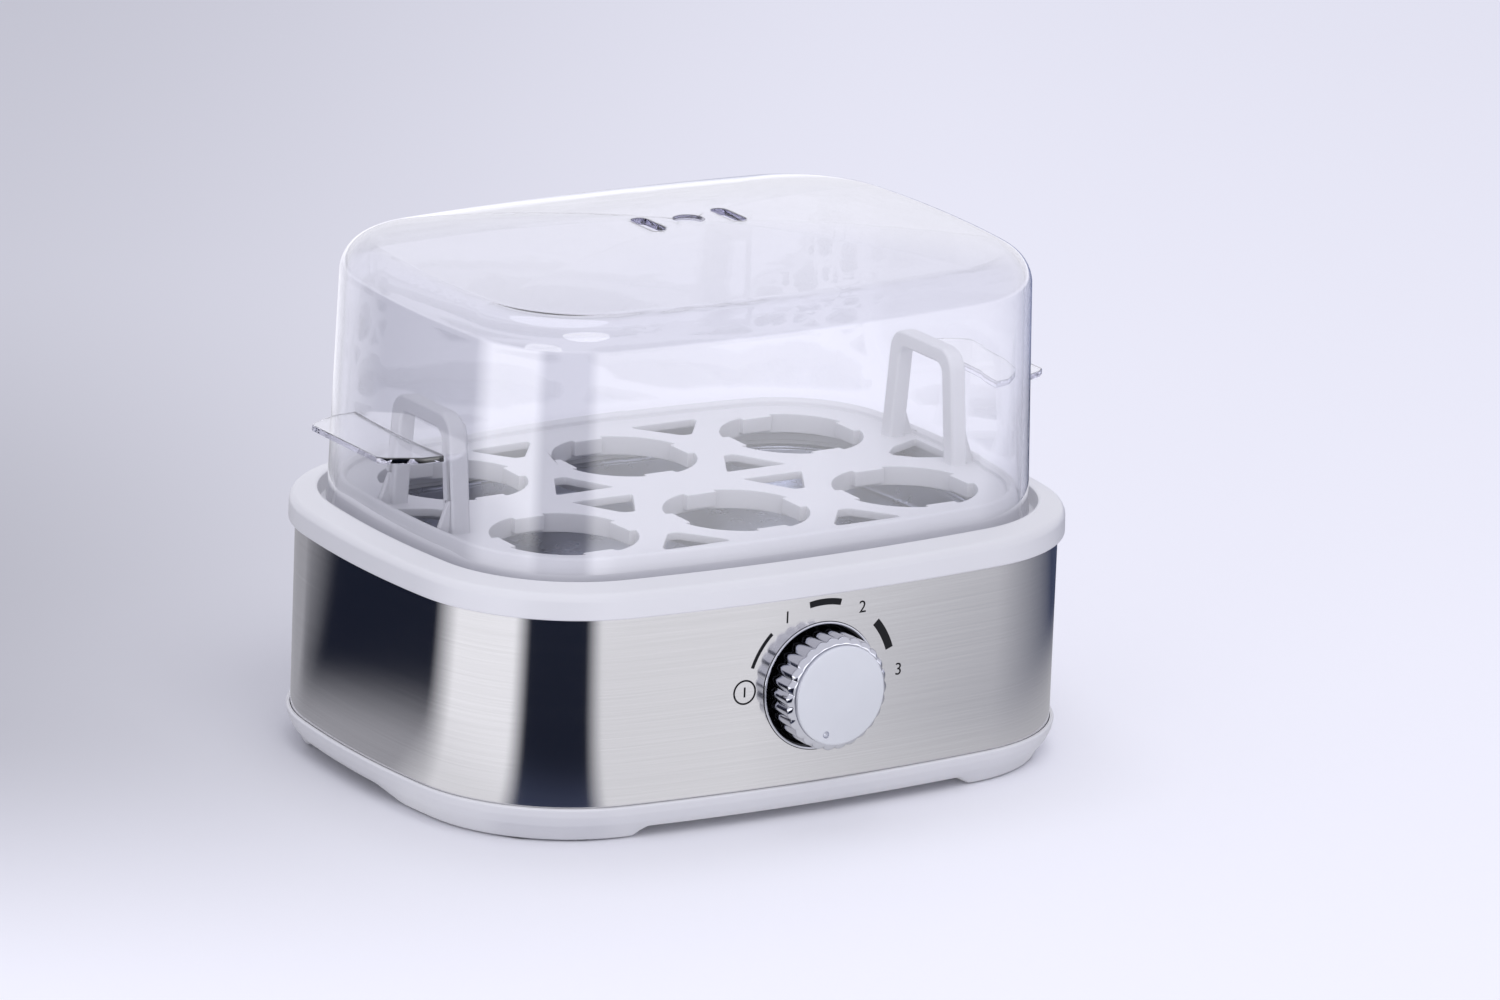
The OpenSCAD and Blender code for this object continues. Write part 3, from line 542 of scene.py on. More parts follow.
class BuildBase(bpy.types.Operator):
    """Models the moulded base tray with its feet, slots and screw posts"""
    bl_idname = "cooker.base"
    bl_label = "Base tray"

    def execute(self, context):
        steps = (30, 16, 22)
        around = outline(0, steps)
        low, foot = 3 * MM, 0.4 * MM

        def share(point):
            """1 where the skirt comes down to a foot, 0 where it stays raised."""
            front = smooth(abs(point.x), 50 * MM, 55 * MM)
            ends = max(smooth(-point.y, 2 * MM, 20 * MM), smooth(point.y, 34 * MM, 42 * MM))
            return front * ends

        def foot_ring(raised, lowered):
            rims = [outline(offset, steps) for offset in (raised[0], lowered[0])]
            points = []
            for k, point in enumerate(around):
                part = share(point)
                flat = rims[0][k].lerp(rims[1][k], part)
                points.append(Vector((flat.x, flat.y, raised[1] + (lowered[1] - raised[1]) * part)))
            return points

        lip = BAND_LOW + 1.45 * MM
        outside = rounded(in_mm([(-2.2, 3.5, 0), (-0.6, 5.2, 3), (0.8, 8, 3)])
                          + [(1.25 * MM, lip - 0.5 * MM, 0.4 * MM), (1.0 * MM, lip, 0.35 * MM),
                             (0.15 * MM, lip, 0.15 * MM)]
                          + in_mm([(0.15, 9, 0), (-0.9, 9, 0), (-0.9, 13, 0.2), (-1.9, 13, 0.2), (-1.9, 5.4, 0)]),
                          closed=False)
        rings = [foot_ring((-14.2 * MM, low), (-14.2 * MM, low)), foot_ring((-12.9 * MM, low), (-12.9 * MM, low)),
                 foot_ring((-12.7 * MM, low), (-12.6 * MM, foot + 0.4 * MM)),
                 foot_ring((-12.4 * MM, low), (-12.2 * MM, foot)),
                 foot_ring((-4.0 * MM, low), (-4.6 * MM, foot)),
                 foot_ring((-3.4 * MM, low + 0.05 * MM), (-3.9 * MM, foot + 0.15 * MM)),
                 foot_ring((-2.9 * MM, low + 0.2 * MM), (-3.5 * MM, foot + 0.6 * MM))]
        rings += [ring(p.x, p.y, steps) for p in outside]
        tray = loft("base_tray_shell", rings)
        posts = []
        for point in corner_places(*POSTS):
            posts.append(rod("post", 4.7 * MM, (point.x, point.y, low), 17 * MM, vertices=40))
        for s in (-1, 1):
            posts.append(rod("boss", 4 * MM, (12 * s * MM, FACE_Y + 15 * MM, low), 6 * MM, vertices=40))
            clamp_foot = (10 * s * MM, HALF_W - 22 * MM, low)
            posts.append(rod("boss", 4 * MM, clamp_foot, GLAND_Z - CORD_R - low, vertices=40))
        carve(tray, together(posts), "UNION")
        cuts = [block("slot", ((x - 1.5) * MM, -14 * MM, 0), ((x + 1.5) * MM, 14 * MM, 9 * MM))
                for x in range(-30, 31, 12)]
        for point in corner_places(*POSTS):
            cuts.append(rod("recess", 3.7 * MM, (point.x, point.y, -1 * MM), 17 * MM, vertices=40))
        carve(tray, together(cuts))
        holes = [rod("hole", 2.1 * MM, (p.x, p.y, 10 * MM), 14 * MM, vertices=32)
                 for p in corner_places(*POSTS)]
        holes += [rod("pad_seat", 3.25 * MM, (p.x, p.y, -1 * MM), 2.6 * MM, vertices=40)
                  for p in corner_places(*PADS)]
        for s in (-1, 1):
            holes.append(rod("pilot", 1.55 * MM, (12 * s * MM, FACE_Y + 15 * MM, 4 * MM), 9 * MM, vertices=24))
            holes.append(rod("pilot", 1.55 * MM, (10 * s * MM, HALF_W - 22 * MM, 4 * MM), 22 * MM, vertices=24))
        carve(tray, together(holes))
        finish(tray, "base", "white_pp", "base_tray")
        return {"FINISHED"}


class BuildBand(bpy.types.Operator):
    """Bends the brushed steel band round the body and cuts its knob and cord holes"""
    bl_idname = "cooker.band"
    bl_label = "Steel band"

    def execute(self, context):
        sheet = 0.6 * MM
        round_off = 0.12 * MM
        section = rounded([(0, BAND_LOW, round_off), (0, BAND_HIGH, round_off),
                           (-sheet, BAND_HIGH, round_off), (-sheet, BAND_LOW, round_off)], turn=50)
        band = sweep("steel_shell", section, steps=(16, 24, 12))
        carve(band, rod("knob_hole", TRIM_R + 0.15 * MM, (0, FACE_Y - 5 * MM, KNOB_Z), 13 * MM, "Y", 128))
        carve(band, rod("cord_hole", CORD_R + 1.95 * MM, (0, HALF_W - 8 * MM, GLAND_Z), 13 * MM, "Y", 64))
        finish(band, "base", "brushed_steel", "steel_band")
        return {"FINISHED"}


def annulus(radius, width, start, end, x=0, z=0):
    """A flat printed arc about a point of the dial, between two angles in degrees, counter-clockwise."""
    steps = max(6, round((end - start) / 2.5))
    bpy.ops.object.select_all(action="DESELECT")
    bpy.ops.mesh.primitive_grid_add(x_subdivisions=steps, y_subdivisions=1, size=1)
    piece = named("mark")
    for vertex in piece.data.vertices:
        turn = math.radians(start + (end - start) * (vertex.co.x + 0.5))
        reach = (radius - width / 2 + width * (0.5 - vertex.co.y)) * MM
        vertex.co = (x * MM + reach * math.cos(turn), z * MM + reach * math.sin(turn), 0)
    return piece


def digit(text, height, x, z):
    """A printed numeral with its middle on a point of the dial."""
    bpy.ops.object.select_all(action="DESELECT")
    bpy.ops.object.text_add()
    words = bpy.context.object.data
    words.body = text
    words.size = height / 0.7 * MM
    words.align_x = "CENTER"
    words.align_y = "CENTER"
    bpy.ops.object.convert(target="MESH")
    piece = named("mark")
    piece.data.transform(Matrix.Translation((x * MM, z * MM, 0)))
    return piece


class PrintDial(bpy.types.Operator):
    """Prints the off symbol, the three cooking arcs and their numerals round the knob"""
    bl_idname = "cooker.dial"
    bl_label = "Dial marks"

    def execute(self, context):
        marks = [annulus(3.25, 0.5, 0, 360, -23.8, 1.0)]
        marks.append(annulus(22.9, 1.0, 134, 161))
        marks.append(annulus(23.5, 1.8, 76, 100.6))
        marks.append(annulus(23.3, 2.4, 19, 42))
        bpy.ops.object.select_all(action="DESELECT")
        bpy.ops.mesh.primitive_plane_add(size=1)
        bpy.context.object.scale = (0.5 * MM, 2.8 * MM, 1)
        bpy.context.object.location = (-23.8 * MM, 1 * MM, 0)
        marks.append(named("bar"))
        marks.append(digit("1", 3.4, 23.3 * math.cos(math.radians(119)), 23.3 * math.sin(math.radians(119))))
        marks.append(digit("2", 3.4, 24.0 * math.cos(math.radians(58)), 24.0 * math.sin(math.radians(58))))
        marks.append(digit("3", 3.4, 25.4, 1.0))
        dial = together(marks)
        dial.name = dial.data.name = "dial_print"
        alone(dial)
        bpy.ops.object.mode_set(mode="EDIT")
        bpy.ops.mesh.select_all(action="SELECT")
        bpy.ops.mesh.remove_doubles(threshold=0.001 * MM)
        bpy.ops.mesh.subdivide(number_cuts=1)
        bpy.ops.mesh.normals_make_consistent(inside=False)
        bpy.ops.object.mode_set(mode="OBJECT")
        for vertex in dial.data.vertices:
            x, z = vertex.co.x, vertex.co.y
            vertex.co = (x, front_at(x) - 0.03 * MM, KNOB_Z + z)
        apply(dial, "SOLIDIFY", thickness=0.05 * MM, offset=0)
        alone(dial)
        bpy.ops.object.mode_set(mode="EDIT")
        bpy.ops.mesh.select_all(action="SELECT")
        bpy.ops.mesh.normals_make_consistent(inside=False)
        bpy.ops.object.mode_set(mode="OBJECT")
        finish(dial, "base", "ink")
        return {"FINISHED"}


class BuildCollar(bpy.types.Operator):
    """Models the white collar with its groove, ledge and four screw posts"""
    bl_idname = "cooker.collar"
    bl_label = "Collar"

    def execute(self, context):
        low = COLLAR_TOP - context.scene.cooker_sizes.collar_drop
        under = LEDGE - 2 * MM
        section = rounded(
            [(1.9 * MM, low, 0.5 * MM), (1.78 * MM, low + 5.5 * MM, 2.4 * MM), (0.9 * MM, low + 7.2 * MM, 1.8 * MM),
             (-5.0 * MM, COLLAR_TOP, 0.6 * MM), (-5.85 * MM, COLLAR_TOP - 0.25 * MM, 0.4 * MM),
             (-6.1 * MM, LEDGE, 0.5 * MM), (-16 * MM, LEDGE, 0.4 * MM), (-16 * MM, under, 0.3 * MM),
             (-1.9 * MM, under, 0), (-1.9 * MM, under - 2 * MM, 0.2 * MM), (-0.9 * MM, under - 2 * MM, 0.2 * MM),
             (-0.9 * MM, under, 0), (0.15 * MM, under, 0), (0.15 * MM, low, 0.2 * MM)], turn=16)
        collar = sweep("collar_shell", section, steps=(14, 20, 10))
        foot = 20 * MM
        posts = [rod("post", 3.9 * MM, (p.x, p.y, foot), LEDGE - 0.5 * MM - foot, vertices=40)
                 for p in corner_places(*POSTS)]
        carve(collar, together(posts), "UNION")
        holes = [rod("hole", 1.95 * MM, (p.x, p.y, foot - 1 * MM), 16.5 * MM, vertices=32)
                 for p in corner_places(*POSTS)]
        holes += [rod("hole", 1.25 * MM, (x, y, under - 3 * MM), 8.2 * MM - 1 * MM, vertices=24)
                  for x, y in ((0, HALF_W - 4.2 * MM), (0, 4.2 * MM - HALF_W),
                               (HALF_L - 4.2 * MM, 0), (4.2 * MM - HALF_L, 0))]
        carve(collar, together(holes))
        finish(collar, "base", "white_pp", "collar")
        return {"FINISHED"}


class BuildPan(bpy.types.Operator):
    """Draws the shallow steel water pan with its flange, fixing ears and studs"""
    bl_idname = "cooker.pan"
    bl_label = "Water pan"

    def execute(self, context):
        sheet = 1 * MM
        deep = PAN_TOP - 9.2 * MM
        inner, flange = -17.5 * MM, -12.5 * MM
        section = rounded([
            (inner - 16 * MM, deep, 0), (inner - 2.0 * MM, deep, 3.4 * MM), (inner, PAN_TOP - sheet, 0.6 * MM),
            (flange, PAN_TOP - sheet, 0), (flange, PAN_TOP, 0.3 * MM), (inner + 1 * MM, PAN_TOP, 1.6 * MM),
            (inner - 1.2 * MM, deep + sheet, 2.6 * MM), (inner - 16 * MM, deep + sheet, 0)], closed=False, turn=12)
        pan = loft("pan_shell", [ring(p.x, p.y) for p in section])
        ear = 4.5 * MM
        edge = -2.05 * MM
        low = PAN_TOP - sheet
        ears = [block("ear", (-ear, HALF_W + flange - 1 * MM, low), (ear, HALF_W + edge, PAN_TOP)),
                block("ear", (-ear, -HALF_W - edge, low), (ear, 1 * MM - HALF_W - flange, PAN_TOP)),
                block("ear", (HALF_L + flange - 1 * MM, -ear, low), (HALF_L + edge, ear, PAN_TOP)),
                block("ear", (-HALF_L - edge, -ear, low), (1 * MM - HALF_L - flange, ear, PAN_TOP))]
        carve(pan, together(ears), "UNION")
        studs = [rod("stud", 1.5 * MM, (s * 12 * MM, 8 * MM, deep - 10 * MM), 10.2 * MM, vertices=32)
                 for s in (-1, 1)]
        studs.append(rod("stud", 1.5 * MM, (-12 * MM, 26 * MM, deep - 8 * MM), 8.2 * MM, vertices=32))
        carve(pan, together(studs), "UNION")
        holes = [rod("hole", 1.3 * MM, (x, y, PAN_TOP - 3 * MM), 5 * MM, vertices=24)
                 for x, y in ((0, HALF_W - 4.2 * MM), (0, 4.2 * MM - HALF_W),
                              (HALF_L - 4.2 * MM, 0), (4.2 * MM - HALF_L, 0))]
        carve(pan, together(holes))
        finish(pan, "base", "pan_steel", "water_pan")
        return {"FINISHED"}


class BuildRack(bpy.types.Operator):
    """Moulds the egg rack: deck, six lugged holes, steam slots, rim and two lifting bails"""
    bl_idname = "cooker.rack"
    bl_label = "Egg rack"

    def execute(self, context):
        sizes = context.scene.cooker_sizes
        deck = BAIL_TOP - sizes.bail_h
        rim = -10.9 * MM
        rack = loft("rack_shell", [ring(rim - 2.6 * MM, deck - 2.4 * MM, (14, 20, 10)),
                                   ring(rim - 2.6 * MM, deck, (14, 20, 10))])
        tops = [shift(i * sizes.egg_dx, s * sizes.egg_dy / 2) for i in (-1, 0, 1) for s in (-1, 1)]
        skirts = copies(rod("skirt", sizes.egg_r + 2.2 * MM, (0, 0, deck - 5.6 * MM), 5.6 * MM, vertices=96), tops)
        carve(rack, skirts, "UNION")
        carve(rack, self.slots(sizes, deck))
        hole = rod("egg_hole", sizes.egg_r, (0, 0, deck - 9 * MM), 12 * MM, vertices=96)
        lug = block("lug", (sizes.egg_r - 2.5 * MM, -4.75 * MM, deck - 4.4 * MM),
                    (sizes.egg_r + 2 * MM, 4.75 * MM, deck + 0.004 * MM))
        carve(hole, copies(lug, turns(4)))
        over = rod("over", sizes.egg_r - 0.5 * MM, (0, 0, deck), 4 * MM, vertices=96)
        carve(hole, over)
        carve(rack, copies(hole, tops))
        crest = deck + 2.3 * MM
        section = rounded([
            (rim, LID_LOW, 0.4 * MM), (rim - 0.1 * MM, deck - 3.6 * MM, 6 * MM),
            (rim - 0.6 * MM, deck - 0.6 * MM, 3 * MM),
            (rim - 1.4 * MM, crest - 0.6 * MM, 1.2 * MM), (rim - 2.5 * MM, crest, 1.0 * MM),
            (rim - 3.7 * MM, crest - 1.2 * MM, 0.7 * MM), (rim - 3.7 * MM, deck - 4.4 * MM, 0.5 * MM),
            (rim - 2.0 * MM, LID_LOW, 0.4 * MM)], turn=22)
        carve(rack, sweep("rim", section, steps=(14, 20, 10)), "UNION")
        carve(rack, self.bails(sizes, deck), "UNION")
        across = [("X", i * sizes.egg_dx / 2) for i in range(-3, 4)]
        soften(rack, 0.45 * MM, 2, 42, across + [("Y", i * sizes.egg_dy / 2) for i in (-1, 0, 1)])
        finish(rack, "rack", "rack_pp", "egg_rack", angle=40)
        return {"FINISHED"}

    def slots(self, sizes, deck):
        """Cutters for the steam slots between the holes and at the two ends."""
        middle = sizes.egg_dx / 2 / MM
        low, high = deck - 9 * MM, deck + 2 * MM
        inner = prism("slot", in_mm([
            (middle - 9.5, 3.9), (middle + 9.5, 3.9), (middle + 8.2, 6.4), (middle + 1.6, 18.2),
            (middle - 1.6, 18.2), (middle - 8.2, 6.4)]), low, high, 0.8 * MM)
        outer = prism("slot", in_mm([
            (middle - 1.6, 40.4), (middle + 1.6, 40.4), (middle + 10, 51.4), (middle + 10, 53.2),
            (middle - 10, 53.2), (middle - 10, 51.4)]), low, high, 0.8 * MM)
        sides = [flip(sx, sy) for sx in (-1, 1) for sy in (-1, 1)]
        reach = HALF_L / MM - 16.6
        end = prism("slot", in_mm([
            (69, -1.4), (69, 1.4), (73.6, 6), (reach, 10.2), (reach, -10.2), (73.6, -6)][::-1]),
            low, high, 0.8 * MM)
        return together([copies(inner, sides), copies(outer, sides), copies(end, [flip(-1, 1), flip(1, 1)])])

    def bails(self, sizes, deck):
        """The two lifting bails, each a rounded strap bent into a U, with a gusset at each foot."""
        foot, top, wide, high = 18.5 * MM, 15 * MM, 5 * MM, sizes.bail_h
        low = -1.2 * MM
        outside = [(-foot, low, 0), (-top, high, 6.5 * MM), (top, high, 6.5 * MM), (foot, low, 0)]
        inside = [(foot - wide, low, 0), (top - 4.6 * MM, high - 4.6 * MM, 3.2 * MM),
                  (4.6 * MM - top, high - 4.6 * MM, 3.2 * MM), (wide - foot, low, 0)]
        path = rounded(outside, closed=False, turn=12) + rounded(inside, closed=False, turn=12)
        bail = prism("bail", [(p.x, p.y) for p in path], -wide / 2, wide / 2)
        bail.data.transform(Matrix(((0, 0, 1, 0), (1, 0, 0, 0), (0, 1, 0, 0), (0, 0, 0, 1))))
        soften(bail, 0.9 * MM, 3, 50)
        gusset = prism("gusset", in_mm([
            (-0.5, -1.2), (4.1, -1.2), (4.1, 0.2), (3.9, 0.6), (0.6, 9.2), (-0.5, 9.2)]),
                       -0.8 * MM, 0.8 * MM)
        gusset.data.transform(Matrix(((1, 0, 0, 2 * MM), (0, 0, -1, 0), (0, 1, 0, 0), (0, 0, 0, 1))))
        soften(gusset, 0.3 * MM, 2, 50)
        feet = copies(gusset, [shift(0, s * (foot - 3 * MM)) for s in (-1, 1)])
        carve(bail, feet, "UNION")
        reach = HALF_L - 20.5 * MM
        return copies(bail, [shift(reach, 0, deck), shift(-reach, 0, deck) @ flip(-1, 1)])


class BuildLid(bpy.types.Operator):
    """Moulds the clear lid with its domed roof, vents and two lifting tabs"""
    bl_idname = "cooker.lid"
    bl_label = "Lid"

    def execute(self, context):
        sizes = context.scene.cooker_sizes
        steps = (18, 24, 14)
        out = -8.1 * MM
        top_out = out - 2.1 * MM
        shoulder = LID_HIGH - sizes.dome_h - sizes.lid_fillet
        rings = [ring(out, LID_LOW, steps), ring(out - 0.02 * MM, LID_LOW + 2.5 * MM, steps),
                 ring(out - 0.4 * MM, LID_LOW + 4.6 * MM, steps)]
        for k in range(1, 8):
            part = k / 8
            rings.append(ring(out - 0.4 * MM + (top_out - out + 0.4 * MM) * part,
                              LID_LOW + 4.6 * MM + (shoulder - LID_LOW - 4.6 * MM) * part, steps))
        last = math.radians(80)
        for k in range(13):
            turn = last * k / 12
            rings.append(ring(top_out - sizes.lid_fillet * (1 - math.cos(turn)),
                              shoulder + sizes.lid_fillet * math.sin(turn), steps))
        edge, height = rings[-1], rings[-1][0].z
        for k in range(1, 20):
            part = 1 - k / 20
            rings.append([Vector((p.x * part, p.y * part, height + (LID_HIGH - height) * (1 - part ** 2)))
                          for p in edge])
        lid = loft("clear_lid", rings, first="open", last="pole")
        self.settle(lid)
        apply(lid, "SOLIDIFY", thickness=sizes.lid_wall, offset=-1, use_even_offset=True, use_rim=True)
        carve(lid, self.tabs(sizes), "UNION")
        for s in (-1, 1):
            slot = prism("vent", [(x + s * sizes.vent_x, y) for x, y in in_mm(
                [(-2.3, -7), (2.3, -7), (2.3, 7), (-2.3, 7)])], LID_HIGH - 9 * MM, LID_HIGH + 9 * MM,
                2.29 * MM, 10)
            carve(lid, slot)
        carve(lid, rod("gate_mark", 4.3 * MM, (0, 0, LID_HIGH - 0.85 * MM), 4 * MM, vertices=64))
        soften(lid, 0.3 * MM, 2, 42)
        finish(lid, "lid", "clear_lid", "lid", angle=38)
        lid.visible_shadow = False
        lid.visible_diffuse = False
        return {"FINISHED"}

    def settle(self, lid):
        """Turns the open shell's faces outwards, so that its wall grows inwards."""
        alone(lid)
        bpy.ops.object.mode_set(mode="EDIT")
        bpy.ops.mesh.select_all(action="SELECT")
        bpy.ops.mesh.normals_make_consistent(inside=False)
        bpy.ops.object.mode_set(mode="OBJECT")
        highest = max(lid.data.polygons, key=lambda face: face.center.z)
        if highest.normal.z < 0:
            lid.data.flip_normals()

    def tabs(self, sizes):
        """A flat lifting tab at each end, rooted in the middle of the wall, its tip corners cut back."""
        top = LID_LOW + sizes.tab_drop
        thick = 1.8 * MM
        wide, tip = 23.9 * MM, 17.4 * MM
        root = -10.05 * MM
        inner = [(end_at(y, root), y) for y in [wide * (1 - k / 8) for k in range(17)]]
        outer = [(TAB_TIP - 10.8 * MM, -wide + 0.5 * MM), (TAB_TIP - 2 * MM, -tip - 2 * MM), (TAB_TIP, -tip),
                 (TAB_TIP, tip), (TAB_TIP - 2 * MM, tip + 2 * MM), (TAB_TIP - 10.8 * MM, wide - 0.5 * MM)]
        tab = prism("tab", inner + outer, top - thick, top)
        return copies(tab, [flip(1, 1), flip(-1, 1)])


def about_knob(radius, y, count=0, depth=0, steps=96):
    """A ring about the knob's axis, with count rounded ribs, twice depth high, and narrow grooves between."""
    points = []
    for i in range(steps):
        turn = 2 * math.pi * i / steps
        reach = radius - 2 * depth * (1 - abs(math.cos(count * turn / 2)))
        points.append(Vector((reach * math.cos(turn), y, KNOB_Z + reach * math.sin(turn))))
    return points


class BuildKnob(bpy.types.Operator):
    """Turns the fluted chrome grip and the satin disc in its face"""
    bl_idname = "cooker.knob"
    bl_label = "Knob"

    def execute(self, context):
        sizes = context.scene.cooker_sizes
        steps = sizes.ribs * 14
        front = KNOB_FRONT + 1 * MM
        flute = sizes.rib_depth
        profile = [
            (3.02, KNOB_FRONT + 3.2 * MM, 0), (3.02, GRIP_BACK - 3.8 * MM, 0), (5.6, GRIP_BACK - 3.8 * MM, 0),
            (5.6, KNOB_FRONT + 4.5 * MM, 0), (GRIP_R / MM - 3, KNOB_FRONT + 4.5 * MM, 0),
            (GRIP_R / MM - 3, GRIP_BACK, 0), (GRIP_R / MM - 0.75, GRIP_BACK, 0.9),
            (GRIP_R / MM - 0.25, GRIP_BACK - 0.15 * MM, 1),
            (GRIP_R / MM, GRIP_BACK - 0.6 * MM, 1), (GRIP_R / MM - 0.05, GRIP_BACK - 1.0 * MM, 1),
            (GRIP_R / MM - 0.3, GRIP_BACK - 1.4 * MM, 1), (GRIP_R / MM - 0.25, front + 1.7 * MM, 1),
            (GRIP_R / MM - 0.3, front + 1.25 * MM, 1), (GRIP_R / MM - 0.55, front + 0.85 * MM, 0.95),
            (GRIP_R / MM - 1.25, front + 0.2 * MM, 0.6), (GRIP_R / MM - 1.6, front, 0.3),
            (CAP_R / MM + 0.05, front, 0), (CAP_R / MM + 0.05, KNOB_FRONT + 2.5 * MM, 0)]
        rings = [about_knob(r * MM, y, sizes.ribs, flute * wave, steps) for r, y, wave in profile]
        grip = loft("fluted_grip", rings)
        finish(grip, "knob", "knob_chrome", "knob_grip", angle=50)
        back = KNOB_FRONT + 2.5 * MM
        section = rounded([(0.5 * MM, KNOB_FRONT, 0), (CAP_R, KNOB_FRONT, 0.45 * MM), (CAP_R, back, 0),
                           (0.5 * MM, back, 0)], closed=False, turn=15)
        disc = loft("knob_disc", [about_knob(p.x, p.y) for p in section], first="pole", last="pole")
        turn = math.radians(-112)
        reach = 11.3 * MM
        middle = (reach * math.cos(turn), KNOB_FRONT, KNOB_Z + reach * math.sin(turn))
        bpy.ops.object.select_all(action="DESELECT")
        bpy.ops.mesh.primitive_uv_sphere_add(segments=32, ring_count=16, radius=1.0 * MM, location=middle)
        carve(disc, named("pointer"))
        finish(disc, "knob", "knob_disc", "knob_cap")
        return {"FINISHED"}


class BuildBezel(bpy.types.Operator):
    """Turns the cup behind the knob, black as painted shade for the deep shade of its recess, and the chrome ring
    round its mouth
    """
    bl_idname = "cooker.bezel"
    bl_label = "Bezel"

    def execute(self, context):
        floor = FACE_Y + 3.5 * MM
        section = rounded([
            (4.6 * MM, floor, 0), (TRIM_R - 1 * MM, floor, 1.0 * MM),
            (TRIM_R - 1 * MM, FACE_Y + 1.1 * MM, 0.15 * MM),
            (TRIM_R + 3 * MM, FACE_Y + 1.1 * MM, 0.3 * MM), (TRIM_R + 3 * MM, FACE_Y + 2.3 * MM, 0.3 * MM),
            (TRIM_R + 0.2 * MM, FACE_Y + 2.3 * MM, 0.3 * MM), (TRIM_R + 0.2 * MM, floor + 1.4 * MM, 0.8 * MM),
            (4.6 * MM, floor + 1.4 * MM, 0)], turn=18)
        cup = loft("bezel_cup", [about_knob(p.x, p.y) for p in section], last="loop")
        # Painted shade: the cup is made black to stand in for the deep shade in the recess.
        finish(cup, "base", "black_plastic", "knob_bezel")
        front = FACE_Y - 0.3 * MM
        section = rounded([
            (TRIM_R - 0.7 * MM, front, 0.3 * MM), (TRIM_R, front, 0.3 * MM), (TRIM_R, FACE_Y + 1.1 * MM, 0.1 * MM),
            (TRIM_R - 0.7 * MM, FACE_Y + 1.1 * MM, 0.1 * MM)], turn=18)
        trim = loft("trim_ring", [about_knob(p.x, p.y) for p in section], last="loop")
        finish(trim, "base", "knob_chrome", "bezel_trim")
        return {"FINISHED"}


class BuildGland(bpy.types.Operator):
    """Turns the ribbed cord gland in the back"""
    bl_idname = "cooker.gland"
    bl_label = "Cord gland"

    def execute(self, context):
        out = HALF_W + 0.05 * MM
        corners = [(CORD_R, HALF_W - 4.2 * MM, 0), (6.6 * MM, HALF_W - 4.2 * MM, 0.4 * MM),
                   (6.6 * MM, HALF_W - 0.8 * MM, 0.2 * MM), (CORD_R + 1.8 * MM, HALF_W - 0.8 * MM, 0),
                   (CORD_R + 1.8 * MM, out, 0), (6.6 * MM, out, 0.2 * MM), (6.6 * MM, out + 2.4 * MM, 0.6 * MM)]
        y = out + 2.4 * MM
        while y < GLAND_TIP - 1.7 * MM:
            wide = 5.8 * MM - 0.9 * MM * (y - out - 2.4 * MM) / (GLAND_TIP - out - 2.4 * MM)
            corners += [(wide - 0.7 * MM, y, 0.2 * MM), (wide - 0.7 * MM, y + 0.7 * MM, 0.2 * MM),
                        (wide, y + 0.7 * MM, 0.3 * MM), (wide, y + 1.7 * MM, 0.3 * MM)]
            y += 1.7 * MM
        corners += [(4.5 * MM, GLAND_TIP, 0.4 * MM), (CORD_R, GLAND_TIP, 0.5 * MM)]
        rings = []
        for p in rounded(corners, turn=30):
            rings.append([Vector((v.x, p.y, v.z - KNOB_Z + GLAND_Z)) for v in about_knob(p.x, 0, steps=64)])
        gland = loft("gland_shell", rings, last="loop")
        finish(gland, "base", "gland_pvc", "cord_gland", angle=40)
        return {"FINISHED"}


# Plain finishes of the small and inner parts, by slot: the material's name, its kind, colour and roughness
SMALL_FINISHES = {
    "zinc_steel": ("zinc_plated_steel", "metal", "#B9BCC2", 0.30),
    "brass": ("turned_brass", "metal", "#C9A45C", 0.28),
    "element_sheath": ("oxidised_sheath_steel", "metal", "#6A6C70", 0.42),
    "phenolic": ("pressed_phenolic", "moulded", "#5A3420", 0.45),
    "ceramic": ("fired_steatite", "moulded", "#EFEBE0", 0.40),
    "silicone": ("moulded_silicone", "moulded", "#D5D6D8", 0.55),
    "rubber_foot": ("moulded_rubber", "moulded", "#3A3B3E", 0.75),
    "gland_pvc": ("moulded_pvc", "moulded", "#D3D4DA", 0.48),
    "wire_brown": ("brown_wire_pvc", "moulded", "#5B3A22", 0.42),
    "wire_black": ("black_wire_pvc", "moulded", "#1A1A1C", 0.42),
    "wire_red": ("red_wire_pvc", "moulded", "#A32A22", 0.42),
    "wire_blue": ("blue_wire_pvc", "moulded", "#2450A0", 0.42),
    "wire_green": ("green_wire_pvc", "moulded", "#3B8B3A", 0.42),
}
MADE = {}


def finish_for(slot):
    """The finish of a slot, made the first time it is asked for."""
    if slot in MADE:
        return MADE[slot]
    colours = bpy.context.scene.cooker_colours
    if slot == "white_pp":
        made = moulded("moulded_white_polypropylene", colours.white, 0.33, grain=0.45)
    elif slot == "rack_pp":
        made = moulded("moulded_grey_polypropylene", colours.grey, 0.38, grain=0.5)
    elif slot == "brushed_steel":
        made = brushed_steel("brushed_stainless_steel", colours.steel)
    elif slot == "pan_steel":
        made = metal("drawn_stainless_steel", colours.pan, 0.24, 0.08)
    elif slot == "knob_chrome":
        made = metal("chromed_abs", colours.chrome, 0.07, 0.05)
    elif slot == "knob_disc":
        made = metal("satin_chromed_abs", colours.disc, 0.42, 0.05, grain=0.35, relief=0.01)
    elif slot == "black_plastic":
        # Painted shade: this black stands in for the deep shade of the bezel cup's recess.
        made = moulded("black_abs_as_painted_shade", colours.black, 0.3, grain=0.4)
    elif slot == "ink":
        made = moulded("screen_printed_ink", colours.black, 0.5, grain=0.3, relief=0.004, specular=0.15)
    elif slot == "clear_lid":
        made = clear_styrene("clear_styrene_acrylonitrile", colours.edge)
    else:
        name, kind, shade, roughness = SMALL_FINISHES[slot]
        make = metal if kind == "metal" else moulded
        made = make(name, linear(shade), roughness)
    MADE[slot] = made
    return made


